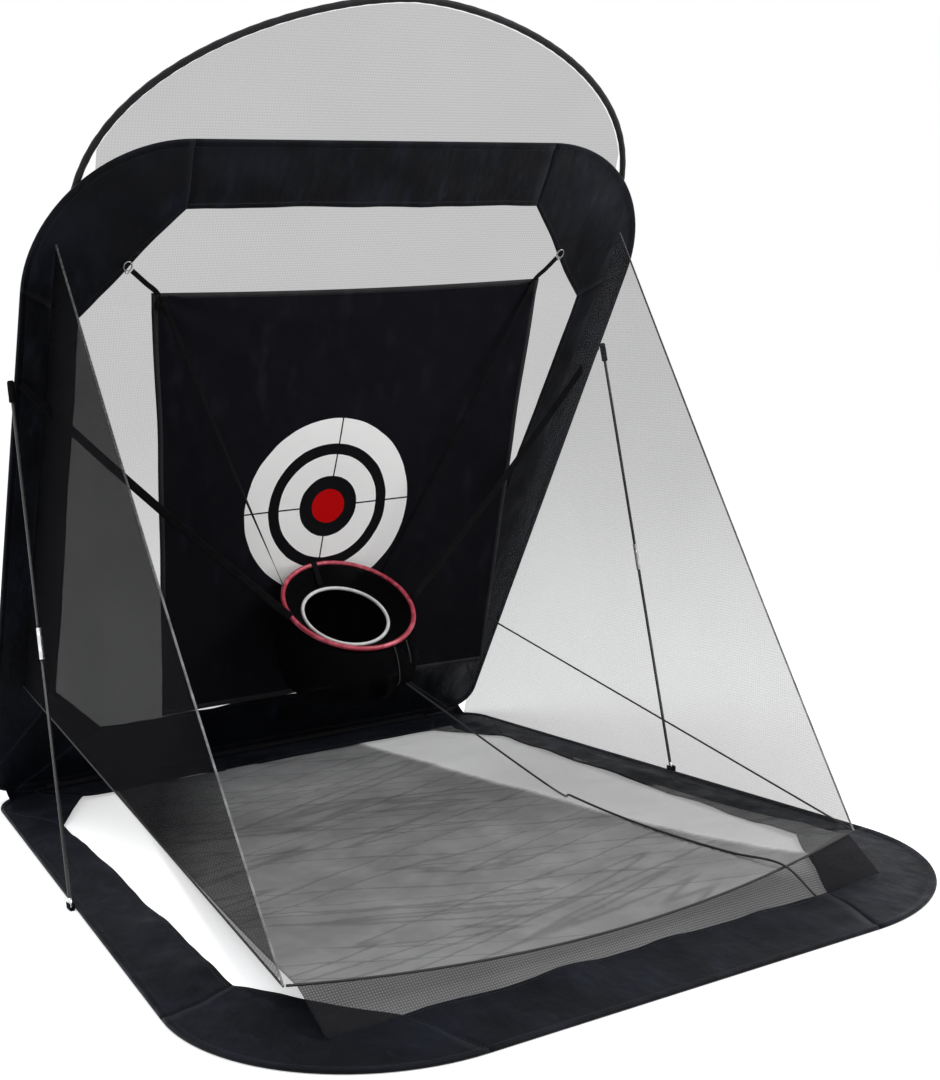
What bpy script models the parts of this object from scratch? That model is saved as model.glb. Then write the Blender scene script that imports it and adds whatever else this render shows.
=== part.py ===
"""Golf chipping net: two sprung hoops with wide cloth bands, hinged along the rear edge, nets between
them, an arch above, a hanging target sheet and a basket on webbing straps, propped by two rods."""

import math

import bmesh
import bpy
from mathutils import Vector

for old in list(bpy.data.objects):
    bpy.data.objects.remove(old, do_unlink=True)

# Driving dimensions, in metres and degrees. X is across, the golfer stands on the -Y side.
DEPTH = 2.02            # base hoop, rear edge to front edge
LEAN = 30.0             # forward lean of the upright hoop
BASE_REAR_W = 1.475     # outer widths of the base hoop at its ends
BASE_FRONT_W = 1.89
BASE_REAR_R = 0.12      # corner radii of the base hoop
BASE_FRONT_R = 0.42
BASE_OPEN_REAR_X = 0.540        # corners of the base's opening: half widths, and distances from
BASE_OPEN_REAR_Y = 0.145        # the rear edge for the rear ones, from the front edge for the others
BASE_OPEN_REAR_SIDE_X = 0.658
BASE_OPEN_REAR_SIDE_Y = 0.330
BASE_OPEN_FRONT_SIDE_X = 0.727
BASE_OPEN_FRONT_SIDE_Y = 0.520
BASE_OPEN_FRONT_X = 0.530
BASE_OPEN_FRONT_Y = 0.210
UP_H = 1.885            # upright hoop, along its slope
UP_LOW_W = 1.50
UP_TOP_W = 1.65
UP_LOW_R = 0.07
UP_TOP_R = 0.34
UP_OPEN_LOW_X = 0.461           # corners of the upright's opening, likewise from its foot and its top
UP_OPEN_LOW_V = 0.185
UP_OPEN_LOW_SIDE_X = 0.600
UP_OPEN_LOW_SIDE_V = 0.336
UP_OPEN_TOP_SIDE_X = 0.672
UP_OPEN_TOP_SIDE_V = 0.430
UP_OPEN_TOP_X = 0.462
UP_OPEN_TOP_V = 0.165
BACK_NET_LAP = 0.015            # the back net's edge, behind the bands
BACK_NET_BELLY = 0.012
ARCH_W = 1.45           # arch, across its feet
ARCH_TOP = 2.22         # arch crown, along the slope
ARCH_FOOT = 1.70
ARCH_SLEEVE_R = 0.008
ARCH_BORE_R = 0.0046
ARCH_ROD_R = 0.004
HOOP_R = 0.002          # steel wire
HEM_R = 0.0048          # cloth tube round the wire
HEM_HOLE_R = 0.0032
CLOTH = 0.0016
NET_T = 0.0012
STRING_W = 0.006        # width of one string bundle in a net
SEAT = 0.0003           # clearance of pieces that touch
CORD_R = 0.0025
FRONT_CORD_R = 0.003
CORNER_H = 0.076        # height of the net's front corners
FRONT_CORNER_SETBACK = 0.320    # from the front edge
FRONT_CORNER_X = 0.716
FRONT_CORD_BOW = 0.060          # the front cord's middle lies this far forward of its ends, and lower
FRONT_CORD_SAG = 0.043
FLOOR_NET_LEFT_X = 0.44         # the floor net's rear corners
FLOOR_NET_RIGHT_X = 0.60
FLOOR_NET_REAR_Y = 0.135
FLOOR_NET_LAP = 0.022           # how far its right edge lies over the base's right band
LIP_X = 0.69
LIP_FRONT_Y = 0.205             # from the front edge
SIDE_TOP_X = 0.745              # where the side nets leave the upright's bands
SIDE_TOP_V = 1.64
SIDE_LOW_X = 0.690
SIDE_LOW_V = 0.38
SKIRT_REAR_Y = 0.060            # the right skirt's foot along the base's right band, and its distance inside
SKIRT_REAR_SETBACK = 0.045
SKIRT_FRONT_Y = 0.520           # from the front edge
SKIRT_FRONT_SETBACK = 0.022
SIDE_BOW_LEFT = 0.010           # how far each side net's front edge draws in
SIDE_BOW_RIGHT = 0.005
CRIMP_X = 0.30
CRIMP_L = 0.04
TAPE_W = 0.028
SHEET_TOP_W = 1.04
SHEET_LOW_W = 0.928
SHEET_H = 1.05
SHEET_LEAN = 12.9       # the sheet's own lean from vertical
HOOK_X = 0.577
HOOK_V = 1.582          # hooks, along the slope
HOOK_R = 0.012
HOOK_WIRE_R = 0.0016
HOOK_DROP = 0.060       # sheet's top below the hooks
HOOK_SETBACK = 0.013
SHEET_STRAP_W = 0.012
RING_R = 0.162
RING_WIRE_R = 0.006
INNER_RING_R = 0.1065
INNER_WIRE_R = 0.0045
FUNNEL_H = 0.036
RING_TILT = 30.7
RING_X = -0.056         # the basket hangs a little to the left
RING_DROP = 0.70        # ring's rear below the sheet's top, along the sheet
BAG_H = 0.24
STRAP_W = 0.020
STRAP_T = 0.0015
THIN_STRAP_W = 0.015
ROD_R = 0.0042
ROD_TOP_V = 1.30
ROD_FOOT_Y = 0.89
FERRULE_L = 0.070
FERRULE_WALL = 0.001
ROD_STAND_OFF = 0.0086  # rod's foot outside the base's hem
POUCH_R = 0.008
POUCH_L = 0.045
CHANNEL_L = 0.024       # pouch of the rod's foot
CHANNEL_H = 0.016
CHANNEL_T = 0.0015
CHANNEL_GAP = 0.0009
TIE_R = 0.001
GROUND_CORD_R = 0.003

SIN = math.sin(math.radians(LEAN))
COS = math.cos(math.radians(LEAN))
SHIFT_Y = DEPTH / 2
HINGE_Z = HEM_R + 0.0107        # the upright's hem lies behind and above the base's
REST_Z = HEM_R + CLOTH / 2 + SEAT + NET_T / 2
BLACK = (0.012, 0.013, 0.017)
NETTING = (0.05, 0.05, 0.052)
PALE_NET = (0.55, 0.55, 0.55)


def on_floor(x, y, h=0.0):
    """A point of the base hoop's plane: y runs forward from the hinge, h is above the plane."""
    return Vector((x, -y, HEM_R + h))


def on_upright(x, v, w=0.0):
    """A point of the upright hoop's plane: v runs up the slope, w is towards the golfer."""
    return Vector((x, -v * SIN - w * COS, HINGE_Z + v * COS - w * SIN))


def pivot_empty(name, place):
    """An empty at a joint's axis, which carries the pieces that turn about it."""
    empty = bpy.data.objects.new(name, None)
    empty.location = place + Vector((0, SHIFT_Y, 0))
    bpy.context.collection.objects.link(empty)
    return empty


def own_material(name, colour, roughness, metallic):
    mat = bpy.data.materials.new(name)
    mat.use_nodes = True
    shader = mat.node_tree.nodes["Principled BSDF"]
    shader.inputs["Base Color"].default_value = (*colour, 1.0)
    shader.inputs["Roughness"].default_value = roughness
    shader.inputs["Metallic"].default_value = metallic
    return mat


def hang(obj, parent, centre):
    """Place an object, whose data is about its own centre, under the empty that carries it."""
    bpy.context.collection.objects.link(obj)
    obj.parent = parent
    obj.location = centre - parent.location


def make(name, verts, faces, colour, roughness=0.8, metallic=0.0, parent=None):
    """One closed body with its own material, its origin in its middle."""
    places = [v + Vector((0, SHIFT_Y, 0)) for v in verts]
    centre = Vector([(min(p[k] for p in places) + max(p[k] for p in places)) / 2 for k in range(3)])
    mesh = bpy.data.meshes.new(name)
    mesh.from_pydata([p - centre for p in places], [], faces)
    bm = bmesh.new()
    bm.from_mesh(mesh)
    bmesh.ops.recalc_face_normals(bm, faces=bm.faces)
    bm.to_mesh(mesh)
    bm.free()
    mesh.materials.append(own_material(name, colour, roughness, metallic))
    obj = bpy.data.objects.new(name, mesh)
    hang(obj, parent or BASE, centre)
    return obj


def loose_cord(name, points, radius, parent):
    """A limp cord: a round curve with filled ends along points that lie close together."""
    places = [p + Vector((0, SHIFT_Y, 0)) for p in points]
    centre = places[0]
    curve = bpy.data.curves.new(name, "CURVE")
    curve.dimensions = "3D"
    curve.bevel_depth = radius
    curve.bevel_resolution = 2
    curve.use_fill_caps = True
    spline = curve.splines.new("POLY")
    spline.points.add(len(places) - 1)
    for point, p in zip(spline.points, places):
        point.co = (*(p - centre), 1.0)
    curve.materials.append(own_material(name, BLACK, 0.8, 0.0))
    hang(bpy.data.objects.new(name, curve), parent, centre)


def even_line(path, count):
    """count points at even steps along a path, on a smooth curve through its points."""
    dense, ends = [], [2 * path[0] - path[1], *path, 2 * path[-1] - path[-2]]
    for p0, p1, p2, p3 in zip(ends, ends[1:], ends[2:], ends[3:]):
        for t in (k / 16 for k in range(16)):
            dense.append(0.5 * (2 * p1 + (p2 - p0) * t + (2 * p0 - 5 * p1 + 4 * p2 - p3) * t * t
                                + (3 * p1 - p0 - 3 * p2 + p3) * t ** 3))
    dense.append(path[-1])
    along = [0.0]
    for p, q in zip(dense, dense[1:]):
        along.append(along[-1] + (q - p).length)
    out, j = [], 0
    for k in range(count):
        want = along[-1] * k / (count - 1)
        while j < len(along) - 2 and along[j + 1] < want:
            j += 1
        out.append(dense[j].lerp(dense[j + 1], (want - along[j]) / (along[j + 1] - along[j])))
    return out


def skin(sections, closed=False, capped=True):
    """Verts and faces of a body swept through sections with the same number of points."""
    n = len(sections[0])
    verts = [p for s in sections for p in s]
    faces = []
    for i in range(len(sections) if closed else len(sections) - 1):
        a, b = i * n, (i + 1) % len(sections) * n
        faces += [(a + k, a + (k + 1) % n, b + (k + 1) % n, b + k) for k in range(n)]
    if capped and not closed:
        faces += [tuple(range(n)), tuple(range((len(sections) - 1) * n, len(sections) * n))]
    return verts, faces


def directions(path, closed=False):
    """The mean direction of a path at each of its points."""
    n, out = len(path), []
    for i in range(n):
        before = path[i] - path[i - 1] if closed or i else path[1] - path[0]
        after = path[(i + 1) % n] - path[i] if closed or i < n - 1 else path[-1] - path[-2]
        out.append((before.normalized() + after.normalized()).normalized())
    return out


def circle(centre, axis, radius, sides, side_hint, start=0.0):
    """Points round an axis; side_hint is the direction of the first one."""
    u = (side_hint - side_hint.dot(axis) * axis).normalized()
    w = axis.cross(u)
    turns = [start + 2 * math.pi * k / sides for k in range(sides)]
    return [centre + radius * (math.cos(t) * u + math.sin(t) * w) for t in turns]


def tube(path, radius, sides=8, hint=Vector((0, 0, 1)), closed=False):
    """A round bar along a path."""
    dirs = directions(path, closed)
    return skin([circle(p, d, radius, sides, hint) for p, d in zip(path, dirs)], closed)


def pipe(path, outer, inner, sides=8, hint=Vector((0, 0, 1))):
    """A hollow tube along a path, open at both ends."""
    dirs = directions(path)
    n, count = sides, len(path)
    verts, faces = [], []
    for p, d in zip(path, dirs):
        verts += circle(p, d, outer, n, hint) + circle(p, d, inner, n, hint)
    for i in range(count - 1):
        for k in range(n):
            a, b, j = i * 2 * n, (i + 1) * 2 * n, (k + 1) % n
            faces.append((a + k, a + j, b + j, b + k))
            faces.append((a + n + k, b + n + k, b + n + j, a + n + j))
    for a in (0, (count - 1) * 2 * n):
        faces += [(a + k, a + (k + 1) % n, a + n + (k + 1) % n, a + n + k) for k in range(n)]
    return verts, faces


def ribbon(path, widths, width, thick):
    """Flat webbing along a path; widths gives the direction across it at each point."""
    sections = []
    for p, d, w in zip(path, directions(path), widths):
        across = (w - w.dot(d) * d).normalized() * width / 2
        up = d.cross(across).normalized() * thick / 2
        sections.append([p + across + up, p - across + up, p - across - up, p + across - up])
    return skin(sections)


def turned(profile, centre, axis, hint, sides=16):
    """A solid turned from (radius, height) pairs; a radius of 0 is a point on the axis."""
    verts, faces, rows = [], [], []
    for r, h in profile:
        c = centre + axis * h
        ring = [c] if r == 0 else circle(c, axis, r, sides, hint)
        rows.append(list(range(len(verts), len(verts) + len(ring))))
        verts += ring
    ends_open = profile[0][0] > 0
    pairs = list(zip(rows, rows[1:])) + ([(rows[-1], rows[0])] if ends_open else [])
    for a, b in pairs:
        for k in range(sides):
            j = (k + 1) % sides
            loop = [a[k % len(a)], a[j % len(a)], b[j % len(b)], b[k % len(b)]]
            faces.append(tuple(dict.fromkeys(loop)))
    return verts, faces


def torus(centre, axis, radius, wire, hint, around=32, sides=8):
    """A closed ring of round section."""
    sections = []
    for c in circle(centre, axis, radius, around, hint):
        out = (c - centre).normalized()
        sections.append(circle(c, axis.cross(out), wire, sides, out, math.pi / sides))
    return skin(sections, closed=True)


def lattice(surface, across, along, size, thick=NET_T, string=STRING_W):
    """A net: strings at even steps over surface(u, v), with size = (width, length) of the net."""
    def steps(count, length):
        half = string / length / 2
        inner = [s for k in range(1, count) for s in (k / count - half, k / count + half)]
        return [0.0, 2 * half, *inner, 1 - 2 * half, 1.0]
    us, vs = steps(across, size[0]), steps(along, size[1])
    e = 1e-4
    mid = [[surface(u, v) for v in vs] for u in us]
    verts = []
    for i, u in enumerate(us):
        for j, v in enumerate(vs):
            du = surface(min(u + e, 1), v) - surface(max(u - e, 0), v)
            dv = surface(u, min(v + e, 1)) - surface(u, max(v - e, 0))
            n = du.cross(dv).normalized() * thick / 2
            verts += [mid[i][j] + n, mid[i][j] - n]
    rows = len(vs)

    def solid(i, j):
        inside = 0 <= i < len(us) - 1 and 0 <= j < rows - 1
        return inside and not (i % 2 and j % 2)
    faces = []
    for i in range(len(us) - 1):
        for j in range(rows - 1):
            if not solid(i, j):
                continue
            a, b, c, d = ((p * rows + q) * 2 for p, q in ((i, j), (i + 1, j), (i + 1, j + 1), (i, j + 1)))
            faces += [(a, b, c, d), (a + 1, d + 1, c + 1, b + 1)]
            sides = ((a, b, i, j - 1), (b, c, i + 1, j), (c, d, i, j + 1), (d, a, i - 1, j))
            faces += [(p, p + 1, q + 1, q) for p, q, r, s in sides if not solid(r, s)]
    return verts, faces


def rounded(corners, radii, steps=6):
    """For each corner of a polygon, the points of its rounded arc with their inward normals."""
    arcs = []
    for i, (c, r) in enumerate(zip(corners, radii)):
        a = (corners[i - 1] - c).normalized()
        b = (corners[(i + 1) % len(corners)] - c).normalized()
        half = a.angle(b) / 2
        centre = c + (a + b).normalized() * r / math.sin(half)
        reach = r / math.tan(half)
        start, end = (c + a * reach - centre).normalized(), (c + b * reach - centre).normalized()
        spokes = [start.slerp(end, k / steps) for k in range(steps + 1)]
        arcs.append([(centre + spoke * r, -spoke) for spoke in spokes])
    return arcs


def band(name, outer, inner, plane, parent):
    """A cloth band: a flat strip from the inner edge to a hem tube round the hoop's line.
    outer has the points of that line with their inward normals, inner the points of the inner edge."""
    normal = plane(0, 0, 1) - plane(0, 0, 0)
    rim = math.asin(CLOTH / 2 / HEM_R)
    turns = [rim + k * (2 * math.pi - 2 * rim) / 7 for k in range(8)]
    verts, faces, n = [], [], 18
    for (o, inward), i in zip(outer, inner):
        d = (plane(*(o + inward)) - plane(*o)).normalized()
        o, i = plane(*o), plane(*i)
        for radius in (HEM_R, HEM_HOLE_R):
            verts += [o + radius * (math.cos(t) * d + math.sin(t) * normal) for t in turns]
        verts += [i + normal * CLOTH / 2, i - normal * CLOTH / 2]
    for s in range(len(outer) - 1):
        a, b = s * n, (s + 1) * n
        for k in range(8):
            j = (k + 1) % 8
            if k < 7:
                faces.append((a + k, a + j, b + j, b + k))
            faces.append((a + 8 + k, b + 8 + k, b + 8 + j, a + 8 + j))
        faces += [(a + 0, b + 0, b + 16, a + 16), (a + 16, b + 16, b + 17, a + 17)]
        faces += [(a + 17, b + 17, b + 7, a + 7)]
    for a in (0, (len(outer) - 1) * n):
        faces += [(a + k, a + (k + 1) % 8, a + 8 + (k + 1) % 8, a + 8 + k) for k in range(8)]
        faces.append((a + 0, a + 7, a + 17, a + 16))
    return make(name, verts, faces, BLACK, parent=parent)


def framed(prefix, names, corners, radii, window, plane, parent):
    """A hoop in its cloth: eight band pieces round an octagonal opening, and the wire inside the hems."""
    arcs = rounded([Vector(c) for c in corners], radii)
    chamfers = [(Vector(window[2 * i]), Vector(window[2 * i + 1])) for i in range(4)]
    for i in range(4):
        arc, (p, q), after = arcs[i], chamfers[i], arcs[(i + 1) % 4]
        into = (arc[0][0] - arcs[i - 1][-1][0]).normalized() * SEAT / 2
        out = (after[0][0] - arc[-1][0]).normalized() * SEAT / 2
        outer = [(arc[0][0] + into, arc[0][1]), *arc[1:-1], (arc[-1][0] - out, arc[-1][1])]
        inner = [p.lerp(q, k / (len(arc) - 1)) for k in range(len(arc))]
        inner = [inner[0] + into, *inner[1:-1], inner[-1] - out]
        band(f"{prefix}_corner_{names[i][0]}", outer, inner, plane, parent)
        outer = [(arc[-1][0] + out, arc[-1][1]), (after[0][0] - out, after[0][1])]
        inner = [q + out, chamfers[(i + 1) % 4][0] - out]
        band(f"{prefix}_band_{names[i][1]}", outer, inner, plane, parent)
    path = [plane(*p) for arc in arcs for p, _ in arc]
    normal = plane(0, 0, 1) - plane(0, 0, 0)
    make(f"{prefix}_hoop", *tube(path, HOOP_R, 8, normal, closed=True), (0.35, 0.36, 0.38), 0.35, 1.0, parent)
    return arcs


X = Vector((1, 0, 0))
arch_w = -(HEM_R + SEAT + ARCH_SLEEVE_R)
BASE = pivot_empty("base", Vector((0, 0, 0)))
UPRIGHT = pivot_empty("upright", Vector((0, 0, HINGE_Z)))
ARCH = pivot_empty("arch", on_upright(0, ARCH_FOOT, arch_w))

# Base frame, flat on the floor. Its corners run rear left, front left, front right, rear right.
base_rear_x, base_front_x = BASE_REAR_W / 2 - HEM_R, BASE_FRONT_W / 2 - HEM_R


def base_side_x(y):
    """Half the width of the base's hoop, y in front of its rear hem."""
    return base_rear_x + (base_front_x - base_rear_x) * y / DEPTH


base_window = [
    (-BASE_OPEN_REAR_X, BASE_OPEN_REAR_Y), (-BASE_OPEN_REAR_SIDE_X, BASE_OPEN_REAR_SIDE_Y),
    (-BASE_OPEN_FRONT_SIDE_X, DEPTH - BASE_OPEN_FRONT_SIDE_Y),
    (-BASE_OPEN_FRONT_X, DEPTH - BASE_OPEN_FRONT_Y),
]
base_window += [(-x, y) for x, y in reversed(base_window)]
framed(
    "base",
    [("rear_left", "left"), ("front_left", "front"), ("front_right", "right"), ("rear_right", "rear")],
    [(-base_rear_x, 0.006), (-base_front_x, DEPTH - HEM_R),
     (base_front_x, DEPTH - HEM_R), (base_rear_x, 0.006)],
    [BASE_REAR_R, BASE_FRONT_R, BASE_FRONT_R, BASE_REAR_R], base_window, on_floor, BASE,
)

# Upright frame. Its corners run low left, low right, top right, top left.
low_x, top_x = UP_LOW_W / 2 - HEM_R, UP_TOP_W / 2 - HEM_R
up_right = [
    (UP_OPEN_LOW_X, UP_OPEN_LOW_V), (UP_OPEN_LOW_SIDE_X, UP_OPEN_LOW_SIDE_V),
    (UP_OPEN_TOP_SIDE_X, UP_H - UP_OPEN_TOP_SIDE_V), (UP_OPEN_TOP_X, UP_H - UP_OPEN_TOP_V),
]
up_left = [(-x, v) for x, v in reversed(up_right)]
up_window = up_left[2:] + up_right + up_left[:2]
up_arcs = framed(
    "upright", [("low_left", "bottom"), ("low_right", "right"), ("top_right", "top"), ("top_left", "left")],
    [(-low_x, 0.012), (low_x, 0.012), (top_x, UP_H - HEM_R), (-top_x, UP_H - HEM_R)],
    [UP_LOW_R, UP_LOW_R, UP_TOP_R, UP_TOP_R], up_window, on_upright, UPRIGHT,
)

# The crimp that joins the ends of the base wire, inside the front hem.
make(
    "base_crimp",
    *pipe([on_floor(CRIMP_X + x, DEPTH - HEM_R) for x in (-CRIMP_L / 2, CRIMP_L / 2)], HOOP_R + 0.0006,
          HOOP_R + 0.00015, 12),
    (0.5, 0.5, 0.52), 0.4, 1.0,
)

# The tape that hinges the two frames along their rear hems.
tape_x = min(base_rear_x - BASE_REAR_R, low_x - UP_LOW_R)
tape_y = 0.006 - HEM_R - SEAT - NET_T / 2
tape = [Vector((x, -tape_y, HINGE_Z)) for x in (-tape_x, tape_x)]
make("hinge_tape", *ribbon(tape, [Vector((0, 0, 1))] * 2, TAPE_W, NET_T), BLACK)


def window_half(v):
    """Half the back net's width at a height up the slope."""
    rows = [(UP_OPEN_LOW_V - BACK_NET_LAP, UP_OPEN_LOW_X),
            (UP_OPEN_LOW_SIDE_V, UP_OPEN_LOW_SIDE_X + BACK_NET_LAP),
            (UP_H - UP_OPEN_TOP_SIDE_V, UP_OPEN_TOP_SIDE_X + BACK_NET_LAP),
            (UP_H - UP_OPEN_TOP_V + BACK_NET_LAP, UP_OPEN_TOP_X)]
    for (v0, x0), (v1, x1) in zip(rows, rows[1:]):
        if v <= v1 or v1 == rows[-1][0]:
            return x0 + (x1 - x0) * (v - v0) / (v1 - v0)


back_w = -CLOTH / 2 - SEAT - NET_T / 2


def back_surface(u, v):
    low = UP_OPEN_LOW_V - BACK_NET_LAP
    height = low + (UP_H - UP_OPEN_TOP_V + BACK_NET_LAP - low) * v
    belly = BACK_NET_BELLY * (4 * u * (1 - u)) * (4 * v * (1 - v))
    return on_upright((2 * u - 1) * window_half(height), height, back_w - belly)


back_size = (UP_OPEN_LOW_SIDE_X + UP_OPEN_TOP_SIDE_X, UP_H - UP_OPEN_TOP_V - UP_OPEN_LOW_V)
make("back_net", *lattice(back_surface, 9, 11, back_size), PALE_NET, parent=UPRIGHT)


front_corner_y = DEPTH - FRONT_CORNER_SETBACK
corner_reach = FRONT_CORNER_X - CORD_R - FRONT_CORD_R - SEAT


def front_edge(u):
    """The front cord's line, u from -1 at the left corner to 1 at the right."""
    slack = 1 - u * u
    y = front_corner_y + FRONT_CORD_BOW * slack
    return Vector((u * corner_reach, -y, CORNER_H - FRONT_CORD_SAG * slack))


make("front_cord", *tube([front_edge(k / 8 - 1) for k in range(17)], FRONT_CORD_R, 8), BLACK)
net_reach = FRONT_CORD_R + SEAT


def floor_edges(v):
    """Left and right edge of the floor net: straight on the left, along the base's opening on the right."""
    front = 0.975 * corner_reach
    length = front_corner_y - FLOOR_NET_REAR_Y
    first = (BASE_OPEN_REAR_SIDE_Y - FLOOR_NET_REAR_Y) / length
    second = 1 - (BASE_OPEN_FRONT_SIDE_Y - FRONT_CORNER_SETBACK) / length
    turns = [(0.0, FLOOR_NET_RIGHT_X), (first, BASE_OPEN_REAR_SIDE_X + FLOOR_NET_LAP),
             (second, BASE_OPEN_FRONT_SIDE_X + FLOOR_NET_LAP), (1.0, front)]
    k = max(i for i in range(3) if turns[i][0] <= v)
    (v0, x0), (v1, x1) = turns[k], turns[k + 1]
    return -FLOOR_NET_LEFT_X - (front - FLOOR_NET_LEFT_X) * v, x0 + (x1 - x0) * (v - v0) / (v1 - v0)


def floor_surface(u, v):
    """The floor net: flat at its rear, drawn up to the front cord, and low along its right edge."""
    front = front_edge(0.975 * (2 * u - 1)) + Vector((0, net_reach, 0))
    left, right = floor_edges(v)
    y = FLOOR_NET_REAR_Y + (-front.y - FLOOR_NET_REAR_Y) * v
    return Vector((left + (right - left) * u, -y, REST_Z + (front.z - REST_Z) * v ** (2 + 4 * u ** 4)))


def lip_surface(u, v):
    top = front_edge(0.975 * (2 * u - 1)) - Vector((0, net_reach + 0.001, 0))
    return top.lerp(Vector((LIP_X * (2 * u - 1), LIP_FRONT_Y - DEPTH, REST_Z)), v)


floor_size = (2 * FRONT_CORNER_X, front_corner_y - FLOOR_NET_REAR_Y)
make("floor_net", *lattice(floor_surface, 9, 10, floor_size), NETTING)
make("lip_net", *lattice(lip_surface, 14, 1, (2 * LIP_X, DEPTH - LIP_FRONT_Y - front_corner_y)), NETTING)

# Side nets with their corded edges, from the upright's bands to the net's front corners.
for side, s, bow in (("left", -1, SIDE_BOW_LEFT), ("right", 1, SIDE_BOW_RIGHT)):
    corner = Vector((s * FRONT_CORNER_X, -front_corner_y, CORNER_H))
    top = on_upright(s * SIDE_TOP_X, SIDE_TOP_V, CLOTH / 2 + SEAT + CORD_R / 2)
    low = on_upright(s * SIDE_LOW_X, SIDE_LOW_V, CLOTH / 2 + SEAT + CORD_R / 2)
    edge = (top - corner).normalized()
    inward = (low - corner) - (low - corner).dot(edge) * edge
    draw = inward.normalized() * bow
    front_line = [corner.lerp(top, k / 8) + draw * math.sin(math.pi * k / 8) for k in range(9)]
    path = front_line[::-1] + [low]
    make(f"side_cord_{side}", *tube(path, CORD_R, 8, Vector((1, 0, 0))), BLACK)
    flat = edge.cross(low - corner).normalized()
    off_top = inward.normalized() * (CORD_R + SEAT)
    off_low = flat.cross(low - corner).normalized() * (CORD_R + SEAT)
    if off_low.dot(top - low) < 0:
        off_low = -off_low

    def side_surface(u, v, ends=(corner, top, low), draw=draw, off_top=off_top, off_low=off_low):
        """u runs from the upright's band towards the front corner, v from the lower edge to the front one."""
        corner, top, low = ends
        t = 1 - 0.94 * u
        high = corner.lerp(top, t) + draw * math.sin(math.pi * t) + off_top
        return (corner.lerp(low, t) + off_low).lerp(high, v)

    side_size = ((top - corner).length, (top - low).length)
    make(f"side_net_{side}", *lattice(side_surface, 9, 6, side_size), NETTING)


skirt_length = DEPTH - SKIRT_FRONT_Y - SKIRT_REAR_Y


def skirt_surface(u, v):
    """The net under the right cord: u from the upright to the front corner, v from the base to the cord."""
    y = SKIRT_REAR_Y + skirt_length * u
    setback = SKIRT_REAR_SETBACK + (SKIRT_FRONT_SETBACK - SKIRT_REAR_SETBACK) * u
    foot = Vector((base_side_x(y) - setback, -y, REST_Z))
    corner = Vector((FRONT_CORNER_X, -front_corner_y, CORNER_H))
    low = on_upright(SIDE_LOW_X, SIDE_LOW_V, CLOTH / 2 + SEAT + CORD_R / 2)
    cord = corner.lerp(low, 1 - 0.94 * u)
    return foot.lerp(cord + (foot - cord).normalized() * (CORD_R + SEAT), v)


make("side_skirt_right", *lattice(skirt_surface, 9, 2, (skirt_length, SIDE_LOW_V)), NETTING)

# Arch: a rod in a cloth sleeve behind the upright's top hem, and the net inside it.
arch_rise, arch_half = ARCH_TOP - ARCH_SLEEVE_R - ARCH_FOOT, ARCH_W / 2 - ARCH_SLEEVE_R


def arch_point(t, inset=0.0):
    """t runs from 0 at the left foot to 1 at the right one, round a squarish half ring."""
    a = math.pi * (1 - t)
    c, s = math.cos(a), math.sin(a)
    x = math.copysign(abs(c) ** 1.2, c) * (arch_half - inset)
    return x, ARCH_FOOT + abs(s) ** 0.9 * (arch_rise - inset)


arch_path = [on_upright(*arch_point(k / 28), arch_w) for k in range(29)]
face_out = on_upright(0, 0, 1) - on_upright(0, 0, 0)
make("arch_sleeve", *pipe(arch_path, ARCH_SLEEVE_R, ARCH_BORE_R, 8, face_out), BLACK, parent=ARCH)
make("arch_rod", *tube(arch_path, ARCH_ROD_R, 8, face_out), (0.03, 0.03, 0.03), 0.5, parent=ARCH)


def hem_height(x):
    """Height up the slope of the upright's top hem at x."""
    line = [p for p, _ in (*up_arcs[2], *up_arcs[3])]
    for p, q in zip(line, line[1:]):
        if q.x <= x <= p.x:
            return p.y + (q.y - p.y) * (x - p.x) / (q.x - p.x)
    return line[0].y


def arch_net_surface(u, v):
    x, high = arch_point(0.085 + 0.83 * u, ARCH_SLEEVE_R + 0.0025 + SEAT)
    low = min(hem_height(x), high - 0.01)
    return on_upright(x, low + (high - low) * v, -(HEM_R + SEAT + NET_T / 2) + (arch_w + HEM_R) * v)


make("arch_net", *lattice(arch_net_surface, 12, 3, (ARCH_W, ARCH_TOP - UP_H)), PALE_NET, parent=ARCH)

# Target sheet on its hooks.
ss, cs = math.sin(math.radians(SHEET_LEAN)), math.cos(math.radians(SHEET_LEAN))
sheet_top = on_upright(0, HOOK_V) + Vector((0, HOOK_SETBACK, -HOOK_DROP))
hook_w = CLOTH / 2 + SEAT + HOOK_WIRE_R
TARGET = pivot_empty("target", on_upright(0, HOOK_V, hook_w))


def on_sheet(x, s, q=0.0):
    """A point of the sheet's plane: s runs down it, q is towards the golfer."""
    return sheet_top + Vector((x, s * ss - q * cs, -s * cs - q * ss))


sheet = [
    [on_sheet(x * h, s, q * NET_T / 2) for x, q in ((-0.5, -1), (-0.5, 1), (0.5, 1), (0.5, -1))]
    for s, h in ((0, SHEET_TOP_W), (SHEET_H, SHEET_LOW_W))
]
make("target_sheet", *skin(sheet), (0.010, 0.009, 0.012), parent=TARGET)

# Basket: ring, smaller ring below it, mesh funnel between them, and the hanging bag.
sr, cr = math.sin(math.radians(RING_TILT)), math.cos(math.radians(RING_TILT))
ring_up = Vector((0, -sr, cr))
ring_back = Vector((0, cr, sr))
pivot = on_sheet(RING_X, RING_DROP, NET_T / 2 + SEAT + RING_WIRE_R)
ring_c = pivot - ring_back * RING_R
BASKET = pivot_empty("basket", pivot)
INNER = pivot_empty("inner_ring", ring_c - ring_up * FUNNEL_H)


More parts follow.
